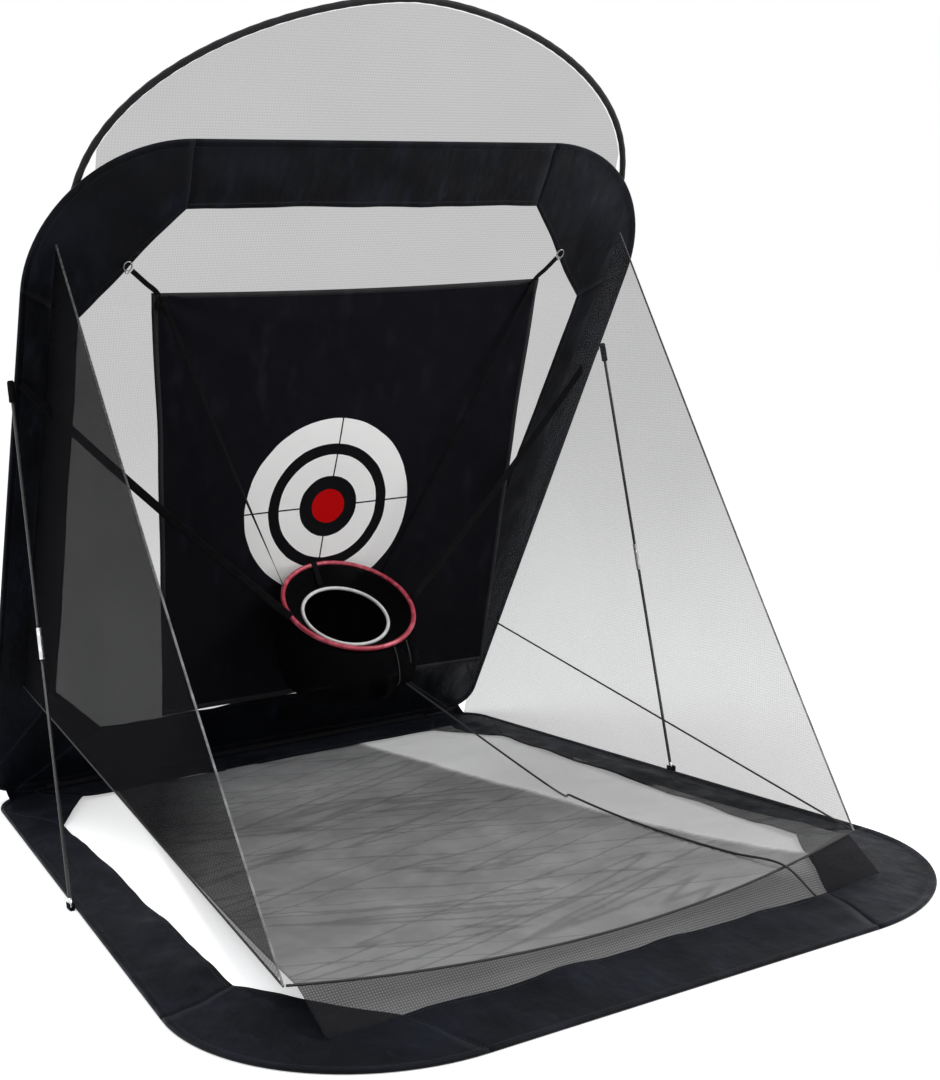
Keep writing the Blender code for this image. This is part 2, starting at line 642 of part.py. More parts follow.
def on_ring(turn, r, h=0.0):
    """A point near the ring: turn is 0 to the right and 90 at the back, h is above its plane."""
    t = math.radians(turn)
    return ring_c + ring_up * h + r * (math.cos(t) * X + math.sin(t) * ring_back)


make("basket_ring", *torus(ring_c, ring_up, RING_R, RING_WIRE_R, X, 32), (0.45, 0.02, 0.05), 0.5,
     parent=BASKET)
inner_c = ring_c - ring_up * FUNNEL_H
make("basket_inner_ring", *torus(inner_c, ring_up, INNER_RING_R, INNER_WIRE_R, X, 32), (0.8, 0.8, 0.78), 0.5,
     parent=INNER)
wide, narrow = RING_R - RING_WIRE_R - SEAT, INNER_RING_R + INNER_WIRE_R + 2 * SEAT
funnel = [(wide, 0), (narrow + 0.001, -FUNNEL_H), (narrow, -FUNNEL_H), (wide - 0.001, 0)]
make("basket_funnel", *turned(funnel, ring_c, ring_up, X, 32), (0.02, 0.02, 0.02), parent=BASKET)

# (side shift, forward shift, drop, radius, tilt) of the bag's rounds, as shares of its height and the ring.
BAG_ROUNDS = ((0.03, 0.05, 0.23, 1.06, 22), (0.07, 0.05, 0.48, 1.12, 14), (0.08, 0.03, 0.73, 1.0, 8),
              (0.09, 0.0, 0.90, 0.70, 4), (0.09, 0.0, 0.98, 0.30, 0))
BAG_SIDES = 24
BAG_WALL = 0.001


def bag_round(k, outward=0.0):
    """Centre, up axis and radius of one round of the bag; the first hangs under the ring."""
    if k == 0:
        return ring_c - ring_up * (RING_WIRE_R + SEAT), ring_up, RING_R + outward
    sx, sy, drop, r, tilt = BAG_ROUNDS[k - 1]
    t = math.radians(tilt)
    centre = ring_c + Vector((-sx * BAG_H, -sy * BAG_H, -drop * BAG_H))
    return centre, Vector((0, -math.sin(t), math.cos(t))), r * RING_R + outward


def bag_body():
    """The bag's outer and inner skins, joined round its mouth."""
    count = len(BAG_ROUNDS) + 1
    verts, faces = [], []
    for outward in (BAG_WALL / 2, -BAG_WALL / 2):
        base = len(verts)
        for k in range(count):
            c, up, r = bag_round(k, outward)
            verts += circle(c, up, r, BAG_SIDES, X)
        verts.append(ring_c + Vector((-BAG_ROUNDS[-1][0] * BAG_H, 0, -BAG_H - outward + BAG_WALL / 2)))
        for k in range(count - 1):
            a, b = base + k * BAG_SIDES, base + (k + 1) * BAG_SIDES
            faces += [(a + i, a + (i + 1) % BAG_SIDES, b + (i + 1) % BAG_SIDES, b + i)
                      for i in range(BAG_SIDES)]
        last, tip = base + (count - 1) * BAG_SIDES, len(verts) - 1
        faces += [(last + i, last + (i + 1) % BAG_SIDES, tip) for i in range(BAG_SIDES)]
    half = len(verts) // 2
    faces += [(i, (i + 1) % BAG_SIDES, half + (i + 1) % BAG_SIDES, half + i) for i in range(BAG_SIDES)]
    return verts, faces


make("basket_bag", *bag_body(), (0.02, 0.02, 0.02), parent=BASKET)

# Two thin ties that hang from the ring over the bag: (name, turn round the ring, last round, points).
TIE_OFF_BAG = 0.0022
for side, turn, last, count in (("long", -75, 3, 34), ("short", -60, 2, 20)):
    line = [on_ring(turn, RING_R + RING_WIRE_R + TIE_R + 0.0008, -2 * TIE_R)]
    for k in range(1, last + 1):
        c, up, r = bag_round(k, TIE_OFF_BAG)
        line.append(circle(c, up, r, 1, X, math.radians(turn))[0] + up * TIE_R)
    line[-1] = line[-2].lerp(line[-1], 0.4)
    loose_cord(f"basket_tie_{side}", even_line(line, count), TIE_R, BASKET)

# A short strap over the ring's rear, down the inside of the funnel.
over = RING_WIRE_R + 0.0022
slope = math.atan2(FUNNEL_H, wide - narrow)


def down_funnel(share, lift=0.003):
    """Radius and height of a point above the funnel's inner face."""
    return (wide - (wide - narrow) * share - lift * math.sin(slope),
            -FUNNEL_H * share + lift * math.cos(slope))


rear = [(RING_R + over * 0.92, over * 0.4), (RING_R + over * 0.5, over * 0.87), (RING_R - over * 0.1, over),
        (RING_R - over * 0.82, over * 0.6), down_funnel(0.12), down_funnel(0.9)]
rear = [on_ring(98, r, h) for r, h in rear]
make("basket_rear_strap", *ribbon(rear, [X] * len(rear), THIN_STRAP_W, STRAP_T * 0.7), BLACK, parent=BASKET)

# Upright hooks, the sheet's corner straps, the four straps that carry the basket, and the prop rods.
edge_x = low_x + (top_x - low_x) * ROD_TOP_V / UP_H
foot_x = base_side_x(ROD_FOOT_Y) + HEM_R + ROD_STAND_OFF
for side, s in (("left", -1), ("right", 1)):
    hook = on_upright(s * HOOK_X, HOOK_V, hook_w)
    make(f"hook_{side}", *torus(hook, face_out, HOOK_R, HOOK_WIRE_R, X, 16, 6), (0.2, 0.2, 0.21), 0.35, 1.0,
         UPRIGHT)
    tab = on_sheet(s * (SHEET_TOP_W / 2 - 0.014), 0.002, NET_T + SEAT)
    start = hook + (tab - hook).normalized() * (HOOK_R + 0.0011)
    end = on_sheet(s * (SHEET_TOP_W / 2 - 0.020), 0.035, NET_T + SEAT)
    make(f"sheet_strap_{side}", *ribbon([start, tab, end], [X] * 3, SHEET_STRAP_W, NET_T), BLACK,
         parent=TARGET)

    start = on_sheet(s * (SHEET_TOP_W / 2 - 0.022), 0.010, 0.0046)
    anchor = on_ring(90 - s * 55, RING_R)
    end = anchor + (start - anchor).normalized() * (RING_WIRE_R + SEAT)
    make(f"basket_top_strap_{side}", *ribbon([start, end], [X] * 2, THIN_STRAP_W, NET_T), BLACK,
         parent=BASKET)

    start = on_upright(s * (edge_x - 0.006), ROD_TOP_V, HEM_R + 0.0015)
    anchor = on_ring(90 - s * 98, RING_R)
    end = anchor + (start - anchor).normalized() * (RING_WIRE_R + SEAT + 0.0012)
    make(f"basket_side_strap_{side}", *ribbon([start, end], [Vector((0, 0, 1))] * 2, STRAP_W, STRAP_T), BLACK,
         parent=BASKET)

    # Prop rod, in two lengths joined by a ferrule, from a pouch on the upright to one on the base.
    foot = Vector((s * foot_x, -ROD_FOOT_Y, ROD_R + SEAT + CHANNEL_T + 0.0006))
    tip = on_upright(s * (edge_x + HEM_R + SEAT + POUCH_R), ROD_TOP_V)
    rod = (tip - foot).normalized()
    length = (tip - foot).length
    mid = foot + rod * length / 2
    brace = pivot_empty(f"brace_{side}", foot)
    r = ROD_R
    low_rod = [(0, -r), (0.5 * r, -0.866 * r), (0.866 * r, -0.5 * r), (r, 0), (r, length / 2 - SEAT / 2),
               (0, length / 2 - SEAT / 2)]
    high_rod = [(0, length / 2 + SEAT / 2), (r, length / 2 + SEAT / 2), (r, length), (0, length)]
    make(f"brace_{side}_low_rod", *turned(low_rod, foot, rod, X, 12), (0.03, 0.03, 0.03), 0.4, parent=brace)
    make(f"brace_{side}_high_rod", *turned(high_rod, foot, rod, X, 12), (0.03, 0.03, 0.03), 0.4, parent=brace)
    ferrule = [mid - rod * FERRULE_L / 2, mid + rod * FERRULE_L / 2]
    sleeve = pipe(ferrule, r + SEAT + FERRULE_WALL, r + SEAT, 12, X)
    make(f"brace_{side}_ferrule", *sleeve, (0.75, 0.75, 0.77), 0.3, 1.0, brace)
    bore, inside = r + 2 * SEAT, length + SEAT
    pouch = [(0, inside + 0.002), (POUCH_R, inside + 0.002), (POUCH_R, length - POUCH_L),
             (bore, length - POUCH_L), (bore, inside), (0, inside)]
    make(f"pouch_high_{side}", *turned(pouch, foot, rod, X, 12), BLACK, parent=UPRIGHT)
    t, gap = CHANNEL_T, r + CHANNEL_GAP
    channel = [(-gap - t, 0), (gap + t, 0), (gap + t, CHANNEL_H), (gap, CHANNEL_H), (gap, t), (-gap, t),
               (-gap, CHANNEL_H), (-gap - t, CHANNEL_H)]
    floor_z = foot.z - r - SEAT - t
    ends = [[Vector((foot.x + x, foot.y + y, floor_z + z)) for x, z in channel]
            for y in (-CHANNEL_L / 2, CHANNEL_L / 2)]
    make(f"pouch_low_{side}", *skin(ends), BLACK)


# A loose cord from the opening's low right corner, over the floor net to the front band.
def on_net(x, v):
    """A point on top of the floor net, v of the way from its rear to its front."""
    left, right = floor_edges(v)
    return floor_surface((x - left) / (right - left), v) + Vector((0, 0, NET_T / 2 + 0.0013 + GROUND_CORD_R))


lay = [(0.484, 0.42), (0.474, 0.50), (0.466, 0.58), (0.462, 0.66), (0.462, 0.74), (0.466, 0.82),
       (0.472, 0.90)]
hop = front_edge(0.475 / FRONT_CORNER_X) + Vector((0, 0, FRONT_CORD_R + GROUND_CORD_R + 0.001))
end = Vector((0.487, -(DEPTH - 0.200), REST_Z + NET_T / 2 + GROUND_CORD_R + 0.001))
start = on_upright(0.470, UP_OPEN_LOW_V - 0.020, CLOTH / 2 + SEAT + GROUND_CORD_R)
loose_cord("ground_cord", even_line([start, *(on_net(*p) for p in lay), hop, end], 80), GROUND_CORD_R, BASE)
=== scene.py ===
"""Looks of the golf chipping net: cloth bands on two sprung hoops, nets, a hanging target sheet, a mesh
basket on webbing straps, an arch and two prop rods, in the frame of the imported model."""

import math

import bpy
from mathutils import Matrix, Vector, noise


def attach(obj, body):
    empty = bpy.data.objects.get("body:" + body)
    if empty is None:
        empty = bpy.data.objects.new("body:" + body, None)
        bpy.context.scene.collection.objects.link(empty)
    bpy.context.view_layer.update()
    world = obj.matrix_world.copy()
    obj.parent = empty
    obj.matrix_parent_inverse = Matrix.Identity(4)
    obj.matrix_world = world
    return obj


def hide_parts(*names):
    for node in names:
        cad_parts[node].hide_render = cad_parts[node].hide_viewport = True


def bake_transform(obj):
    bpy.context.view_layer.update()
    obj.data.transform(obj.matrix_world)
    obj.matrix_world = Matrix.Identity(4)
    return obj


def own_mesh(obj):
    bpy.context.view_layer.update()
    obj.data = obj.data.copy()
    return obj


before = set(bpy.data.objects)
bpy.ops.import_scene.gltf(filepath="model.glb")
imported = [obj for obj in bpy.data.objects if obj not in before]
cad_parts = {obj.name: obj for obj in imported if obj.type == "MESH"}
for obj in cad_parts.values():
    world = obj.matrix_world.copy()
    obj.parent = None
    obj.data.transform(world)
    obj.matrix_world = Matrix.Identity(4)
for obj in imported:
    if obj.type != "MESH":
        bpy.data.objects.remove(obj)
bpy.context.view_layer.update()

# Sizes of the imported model, in metres and degrees. The golfer stands on the -Y side.
DEPTH, LEAN = 2.02, 30.0
BASE_REAR_W, BASE_FRONT_W, BASE_REAR_R, BASE_FRONT_R, BASE_REAR_SET = 1.475, 1.89, 0.12, 0.42, 0.006
UP_H, UP_LOW_W, UP_TOP_W, UP_LOW_R, UP_TOP_R, UP_LOW_SET = 1.885, 1.50, 1.65, 0.07, 0.34, 0.012
# Corners of the two openings, from the rear forward and from the foot up: half width and place.
BASE_OPENING = ((0.540, 0.145), (0.658, 0.330), (0.727, DEPTH - 0.520), (0.530, DEPTH - 0.210))
UP_OPENING = ((0.461, 0.185), (0.600, 0.336), (0.672, UP_H - 0.430), (0.462, UP_H - 0.165))
BACK_NET_LAP, BACK_NET_BELLY = 0.015, 0.012
ARCH_W, ARCH_TOP, ARCH_FOOT, ARCH_SLEEVE_R = 1.45, 2.22, 1.70, 0.008
HEM_R, CLOTH, NET_T, SEAT = 0.0048, 0.0016, 0.0012, 0.0003
CORD_R, FRONT_CORD_R, GROUND_CORD_R, TIE_R, TIE_OFF_BAG = 0.0025, 0.003, 0.003, 0.001, 0.0022
CORNER_H, FRONT_CORNER_X, FRONT_CORNER_Y, FRONT_CORD_BOW, FRONT_CORD_SAG = 0.076, 0.716, 1.70, 0.06, 0.043
FLOOR_NET_LEFT_X, FLOOR_NET_RIGHT_X, FLOOR_NET_REAR_Y, FLOOR_NET_LAP = 0.44, 0.60, 0.135, 0.022
LIP_X, LIP_FRONT_Y, TAPE_W = 0.69, 0.205, 0.028
SIDE_TOP_X, SIDE_TOP_V, SIDE_LOW_X, SIDE_LOW_V = 0.745, 1.64, 0.690, 0.38
SIDE_BOW = {"left": 0.010, "right": 0.005}      # how far each side net's front edge draws in
SKIRT_REAR_Y, SKIRT_REAR_SETBACK, SKIRT_FRONT_Y, SKIRT_FRONT_SETBACK = 0.060, 0.045, 1.500, 0.022
SHEET_TOP_W, SHEET_LOW_W, SHEET_H, SHEET_LEAN = 1.04, 0.928, 1.05, 12.9
HOOK_X, HOOK_V, HOOK_DROP, HOOK_SETBACK, HOOK_WIRE_R = 0.577, 1.582, 0.060, 0.013, 0.0016
RING_R, RING_WIRE_R, INNER_RING_R, INNER_WIRE_R = 0.162, 0.006, 0.1065, 0.0045
FUNNEL_H, RING_TILT, RING_X, RING_DROP, BAG_H = 0.036, 30.7, -0.056, 0.70, 0.24
STRAP_W, STRAP_T, THIN_STRAP_W, SHEET_STRAP_W = 0.020, 0.0015, 0.015, 0.012
ROD_R, ROD_TOP_V, ROD_FOOT_Y, ROD_STAND_OFF, FERRULE_L = 0.0042, 1.30, 0.89, 0.0086, 0.070
CHANNEL_L, CHANNEL_H, CHANNEL_T = 0.024, 0.016, 0.0015      # pouch of a rod's foot

SIN, COS = math.sin(math.radians(LEAN)), math.cos(math.radians(LEAN))
HINGE_Z = HEM_R + 0.0107        # the upright's hem lies behind and above the base's
REST_Z = HEM_R + CLOTH / 2 + SEAT + NET_T / 2       # height of a net that lies on the base's cloth
X, Y, Z = Vector((1, 0, 0)), Vector((0, 1, 0)), Vector((0, 0, 1))
FACE_OUT = Vector((0, -COS, -SIN))
UP_SLOPE = Vector((0, -SIN, COS))
SIDES = (("left", -1), ("right", 1))


def on_floor(x, y, h=0.0):
    """A point of the base hoop's plane: y runs forward from the hinge, h is above the plane."""
    return Vector((x, DEPTH / 2 - y, HEM_R + h))


def on_upright(x, v, w=0.0):
    """A point of the upright hoop's plane: v runs up the slope, w is towards the golfer."""
    return Vector((x, DEPTH / 2, HINGE_Z)) + UP_SLOPE * v + FACE_OUT * w


def smooth(t):
    t = min(max(t, 0.0), 1.0)
    return t * t * (3 - 2 * t)


def inside(u, v, rate):
    """0 at the edges of a surface, rising to 1 over 1 / rate of its size."""
    return smooth(min(u, 1 - u, v, 1 - v) * rate)


def wander(x, y, scale, seed):
    """Smooth noise from -1 to 1 over a plane; scale is the size of a lump."""
    return noise.noise(Vector((x / scale, y / scale, seed)))


# ---- camera
CAMERA_PLACE, LENS, SHIFT = (-1.997, -3.440, 1.380), 57.93, (-0.01097, 0.0072)
YAW, PITCH, ROLL = 0.564, 0.165, -0.030     # radians


def add_camera():
    data = bpy.data.cameras.new("camera")
    data.sensor_fit, data.sensor_width = "AUTO", 36.0
    data.lens = LENS
    data.shift_x, data.shift_y = SHIFT
    data.clip_end = 200.0
    cam = bpy.data.objects.new("camera", data)
    bpy.context.collection.objects.link(cam)
    ahead = Vector((math.sin(YAW) * math.cos(PITCH), math.cos(YAW) * math.cos(PITCH), -math.sin(PITCH)))
    level = Vector((math.cos(YAW), -math.sin(YAW), 0))
    over = level.cross(ahead)
    right = math.cos(ROLL) * level + math.sin(ROLL) * over
    up = -math.sin(ROLL) * level + math.cos(ROLL) * over
    facing = Matrix((right, up, -ahead)).transposed().to_4x4()
    cam.matrix_world = Matrix.Translation(CAMERA_PLACE) @ facing
    bpy.context.scene.camera = cam


add_camera()


# ---- mesh helpers
def skin(sections, closed=False, capped=True):
    """Verts and faces of a body swept through sections with the same number of points."""
    n = len(sections[0])
    verts = [p for s in sections for p in s]
    faces = []
    for i in range(len(sections) if closed else len(sections) - 1):
        a, b = i * n, (i + 1) % len(sections) * n
        faces += [(a + k, a + (k + 1) % n, b + (k + 1) % n, b + k) for k in range(n)]
    if capped and not closed:
        faces += [tuple(range(n))[::-1], tuple(range((len(sections) - 1) * n, len(sections) * n))]
    return verts, faces


def joined(*bodies):
    """Several bodies as one list of verts and faces."""
    verts, faces = [], []
    for more, loops in bodies:
        start = len(verts)
        verts += more
        faces += [tuple(start + k for k in loop) for loop in loops]
    return verts, faces


def directions(path, closed=False):
    n, out = len(path), []
    for i in range(n):
        before = path[i] - path[i - 1] if closed or i else path[1] - path[0]
        after = path[(i + 1) % n] - path[i] if closed or i < n - 1 else path[-1] - path[-2]
        out.append((before.normalized() + after.normalized()).normalized())
    return out


def lengths(path):
    out = [0.0]
    for a, b in zip(path, path[1:]):
        out.append(out[-1] + (b - a).length)
    return out


def resampled(path, step):
    """The path as a smooth line with a point every step, through a Catmull-Rom curve."""
    dense = []
    ends = [2 * path[0] - path[1], *path, 2 * path[-1] - path[-2]]
    for p0, p1, p2, p3 in zip(ends, ends[1:], ends[2:], ends[3:]):
        for k in range(24):
            t = k / 24
            dense.append(0.5 * (2 * p1 + (p2 - p0) * t + (2 * p0 - 5 * p1 + 4 * p2 - p3) * t * t
                                + (3 * p1 - p0 - 3 * p2 + p3) * t ** 3))
    dense.append(path[-1])
    along = lengths(dense)
    count = max(2, round(along[-1] / step))
    out, j = [], 0
    for k in range(count + 1):
        want = along[-1] * k / count
        while j < len(along) - 2 and along[j + 1] < want:
            j += 1
        span = along[j + 1] - along[j]
        out.append(dense[j].lerp(dense[j + 1], (want - along[j]) / span if span else 0.0))
    return out


def circle(centre, axis, radius, sides, hint, start=0.0):
    u = (hint - hint.dot(axis) * axis).normalized()
    w = axis.cross(u)
    turns = [start + 2 * math.pi * k / sides for k in range(sides)]
    return [centre + radius * (math.cos(t) * u + math.sin(t) * w) for t in turns]


def tube(path, radius, sides=16, hint=Z, closed=False):
    return skin([circle(p, d, radius, sides, hint) for p, d in zip(path, directions(path, closed))], closed)


def twisted(path, radius, lay=0.013, strands=3, hint=Z, step=0.0025):
    """A laid cord: its strands wind round the path once every lay."""
    line = resampled(path, step)
    sections, sides = [], 12
    for p, d, s in zip(line, directions(line), lengths(line)):
        ring = circle(p, d, 1.0, sides, hint)
        turn = 2 * math.pi * s / lay
        section = []
        for k, q in enumerate(ring):
            lobe = math.cos(strands * (2 * math.pi * k / sides) - turn * strands)
            section.append(p + (q - p) * radius * (0.90 + 0.10 * lobe))
        sections.append(section)
    return skin(sections)


def mirrored(half, middle):
    """A profile from its right half, edge first, and its middle point."""
    return [(-x, y) for x, y in half] + [middle] + half[::-1]


def sagging(start, end, sag, steps=40):
    """A line between two points whose middle hangs down by sag."""
    return [start.lerp(end, k / steps) - Z * sag * math.sin(math.pi * k / steps) for k in range(steps + 1)]


def ribbon(path, acrosses, width, thick):
    """Webbing along a path: a flat band with round edges and a rib along its middle."""
    sections = []
    half, t = width / 2, thick / 2
    shape = mirrored([(half, 0), (half * 0.94, t * 0.8), (half * 0.6, t), (half * 0.3, t * 0.86)], (0, t))
    shape += [(x, -y) for x, y in shape[-2:0:-1]]
    for p, d, w in zip(path, directions(path), acrosses):
        across = (w - w.dot(d) * d).normalized()
        up = d.cross(across)
        sections.append([p + across * x + up * y for x, y in shape])
    return skin(sections)


def turned(profile, centre, axis, hint, sides=32):
    """A solid turned from (radius, height) pairs; a radius of 0 is a point on the axis."""
    verts, faces, rows = [], [], []
    for r, h in profile:
        c = centre + axis * h
        ring = [c] if r == 0 else circle(c, axis, r, sides, hint)
        rows.append(list(range(len(verts), len(verts) + len(ring))))
        verts += ring
    pairs = list(zip(rows, rows[1:])) + ([(rows[-1], rows[0])] if profile[0][0] > 0 else [])
    for a, b in pairs:
        for k in range(sides):
            j = (k + 1) % sides
            loop = [a[k % len(a)], a[j % len(a)], b[j % len(b)], b[k % len(b)]]
            faces.append(tuple(dict.fromkeys(loop)))
    return verts, faces


def sheet_of(surface, across, along, thick):
    """A thin closed sheet over surface(u, v)."""
    grid = [[surface(i / across, j / along) for j in range(along + 1)] for i in range(across + 1)]
    verts = []
    for i in range(across + 1):
        for j in range(along + 1):
            du = grid[min(i + 1, across)][j] - grid[max(i - 1, 0)][j]
            dv = grid[i][min(j + 1, along)] - grid[i][max(j - 1, 0)]
            n = du.cross(dv).normalized() * thick / 2
            verts += [grid[i][j] + n, grid[i][j] - n]
    rows, faces = along + 1, []

    def at(i, j):
        return (i * rows + j) * 2
    for i in range(across):
        for j in range(along):
            a, b, c, d = at(i, j), at(i + 1, j), at(i + 1, j + 1), at(i, j + 1)
            faces += [(a, b, c, d), (a + 1, d + 1, c + 1, b + 1)]
    for i in range(across):
        for a, b in ((at(i, 0), at(i + 1, 0)), (at(i + 1, along), at(i, along))):
            faces.append((a, a + 1, b + 1, b))
    for j in range(along):
        for a, b in ((at(0, j + 1), at(0, j)), (at(across, j), at(across, j + 1))):
            faces.append((a, a + 1, b + 1, b))
    return verts, faces


NET_SKIN, BASKET_SKIN = 0.0001, 0.0006      # modelled thickness; the material cuts the threads


def stitches(lines, pitch=0.0075, length=0.0048, radius=0.0004):
    """Rows of thread along lines of (point, normal) pairs."""
    bodies = []
    for line in lines:
        points = [p for p, _ in line]
        along = lengths(points)
        for k in range(int(along[-1] / pitch)):
            want = (k + 0.5) * pitch
            j = next(i for i in range(len(along) - 1) if along[i + 1] >= want)
            share = (want - along[j]) / (along[j + 1] - along[j])
            p, n = points[j].lerp(points[j + 1], share), line[j][1]
            d = (points[j + 1] - points[j]).normalized()
            side = d.cross(n).normalized()
            body = []
            spokes = (side, n, -side, -n)
            for s, r in ((-0.5, 0.25), (-0.3, 1.0), (0.3, 1.0), (0.5, 0.25)):
                c = p + d * length * s + n * radius * (0.2 if r < 1 else 0.7)
                body.append([c + radius * r * spoke for spoke in spokes])
            bodies.append(skin(body))
    return joined(*bodies)


def add(name, body, mat, shape, replaces=()):
    """One piece: its mesh, material, body and the nodes it stands for."""
    mesh = bpy.data.meshes.new(name)
    mesh.from_pydata([tuple(v) for v in shape[0]], [], shape[1])
    mesh.validate()
    mesh.materials.append(mat)
    mesh.shade_smooth()
    obj = bpy.data.objects.new(name, mesh)
    bpy.context.collection.objects.link(obj)
    if replaces:
        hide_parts(*replaces)
    if body:
        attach(obj, body)
    return obj


def dress(node, body, mat, shape):
    """The finished piece of one CAD node."""
    return add(f"{node}_piece", body, mat, shape, [node])


# ---- materials
class Finish:
    """A node material in short calls; numbers that don't vary sit on the shader's own sockets."""

    def __init__(self, name, colour, roughness, **sockets):
        self.mat = bpy.data.materials.new(name)
        self.mat.use_nodes = True
        self.tree = self.mat.node_tree
        self.shader = self.tree.nodes["Principled BSDF"]
        self.shader.inputs["Base Color"].default_value = (*colour, 1.0)
        self.shader.inputs["Roughness"].default_value = roughness
        for key, value in sockets.items():
            self.shader.inputs[key.replace("_", " ")].default_value = value
        self.place = self.tree.nodes.new("ShaderNodeTexCoord").outputs["Object"]
        self.height = None

    def node(self, kind, **settings):
        made = self.tree.nodes.new("ShaderNode" + kind)
        for key, value in settings.items():
            setattr(made, key, value)
        return made

    def wire(self, value, socket):
        if hasattr(value, "is_output"):
            self.tree.links.new(value, socket)
        else:
            socket.default_value = value

    def math(self, operation, a, b=0.0, c=0.0):
        made = self.node("Math", operation=operation)
        for value, socket in zip((a, b, c), made.inputs):
            self.wire(value, socket)
        return made.outputs[0]

    def along(self, axis, origin=(0, 0, 0)):
        """Distance along an axis from an origin."""
        shifted = self.node("VectorMath", operation="SUBTRACT")
        self.wire(self.place, shifted.inputs[0])
        shifted.inputs[1].default_value = tuple(origin)
        dot = self.node("VectorMath", operation="DOT_PRODUCT")
        self.wire(shifted.outputs[0], dot.inputs[0])
        dot.inputs[1].default_value = tuple(axis)
        return dot.outputs["Value"]

    def noise(self, size, detail=3.0, stretch=(1, 1, 1), turn=0):
        """Noise with lumps of a size, turned about Z by some degrees, then stretched."""
        place = self.place
        if turn:
            rotate = self.node("VectorRotate", rotation_type="Z_AXIS")
            self.wire(place, rotate.inputs["Vector"])
            rotate.inputs["Angle"].default_value = math.radians(turn)
            place = rotate.outputs[0]
        mapping = self.node("Mapping")
        self.wire(place, mapping.inputs[0])
        mapping.inputs["Scale"].default_value = tuple(s / size for s in stretch)
        made = self.node("TexNoise")
        made.inputs["Scale"].default_value = 1.0
        made.inputs["Detail"].default_value = detail
        self.wire(mapping.outputs[0], made.inputs["Vector"])
        return made.outputs["Fac"]

    def spread(self, value, low, high, a=0.0, b=1.0):
        made = self.node("MapRange")
        for socket, number in zip(made.inputs, (value, low, high, a, b)):
            self.wire(number, socket)
        return made.outputs[0]

    def blend(self, share, a, b):
        made = self.node("Mix", data_type="RGBA")
        self.wire(share, made.inputs[0])
        for socket, colour in zip((made.inputs[6], made.inputs[7]), (a, b)):
            self.wire(colour if hasattr(colour, "is_output") else (*colour, 1.0), socket)
        return made.outputs[2]

    def colour(self, value):
        self.wire(value, self.shader.inputs["Base Color"])

    def shade(self):
        """What the colour is wired to."""
        return self.shader.inputs["Base Color"].links[0].from_socket

    def alpha(self, value):
        self.wire(value, self.shader.inputs["Alpha"])

    def rough(self, size, low, high, stretch=(1, 1, 1)):
        """Roughness that wanders between two levels over places of a size."""
        level = self.spread(self.noise(size, 3.0, stretch), 0.3, 0.7, low, high)
        self.wire(level, self.shader.inputs["Roughness"])

    def bump(self, value, distance, strength=1.0):
        made = self.node("Bump")
        made.inputs["Distance"].default_value = distance
        made.inputs["Strength"].default_value = strength
        self.wire(value, made.inputs["Height"])
        if self.height:
            self.wire(self.height, made.inputs["Normal"])
        self.height = made.outputs[0]
        self.wire(self.height, self.shader.inputs["Normal"])

    def waves(self, operation, u, v, pitch):
        """Waves along two axes, as sines or cosines."""
        turns = [self.math("MULTIPLY", self.along(axis), 2 * math.pi / pitch) for axis in (u, v)]
        return [self.math(operation, turn) for turn in turns]

    def weave(self, u, v, pitch):
        """A plain weave's height from two axes."""
        return self.math("MULTIPLY_ADD", self.math("MULTIPLY", *self.waves("SINE", u, v, pitch)), 0.5, 0.5)

    def grid(self, u, v, pitch):
        """From -1 in the holes of a mesh to 1 on its threads."""
        return self.math("MAXIMUM", *self.waves("COSINE", u, v, pitch))


SLANT = (0, -0.6, 0.8)


def cloth_finish(name, colour, light, roughness, wrinkle, gloss=0.22):
    """Woven polyester: a fine weave, soft wrinkles, painted sheen in patches, painted highlight streaks and a
    faint cool shader sheen.
    """
    f = Finish(name, colour, roughness, Sheen_Weight=0.06, Sheen_Roughness=0.4,
               Sheen_Tint=(0.55, 0.62, 0.8, 1.0), Specular_IOR_Level=gloss)
    # Painted light: lighter bluish patches stand in for sheen, and streaks at twice that colour are painted
    # highlights.
    sheen_patches = f.spread(f.noise(0.16, 4.0), 0.42, 0.72)
    highlight_streaks = f.spread(f.noise(0.05, 4.0, (1.0, 0.45, 0.45)), 0.58, 0.74, 0.0, 0.8)
    f.colour(f.blend(highlight_streaks, f.blend(sheen_patches, colour, light), tuple(2.0 * c for c in light)))
    f.rough(0.05, roughness - 0.1, roughness + 0.08)
    f.bump(f.noise(0.055, 3.0, (1.0, 0.6, 0.6)), wrinkle)
    f.bump(f.weave((1, 0, 0), SLANT, 0.0014), 0.00025, 0.7)
    return f


def net_finish(name, colour, u, v, pitch, cover, contrast, light=None):
    """Knotless mesh, too fine to see hole by hole: its threads' cover, a little denser along each cord."""
    f = Finish(name, colour, 0.9, Specular_IOR_Level=0.04)
    dusty = light or tuple(1.3 * c for c in colour)
    f.colour(f.blend(f.spread(f.noise(0.12, 3.0), 0.38, 0.68), colour, dusty))
    cords = f.spread(f.grid(u, v, pitch), -1.0, 1.0, cover - contrast, cover + contrast)
    slow = f.spread(f.noise(0.30, 2.0), 0.3, 0.7, -contrast / 4, contrast / 4)
    f.cover = f.math("ADD", cords, slow)
    f.alpha(f.cover)
    return f


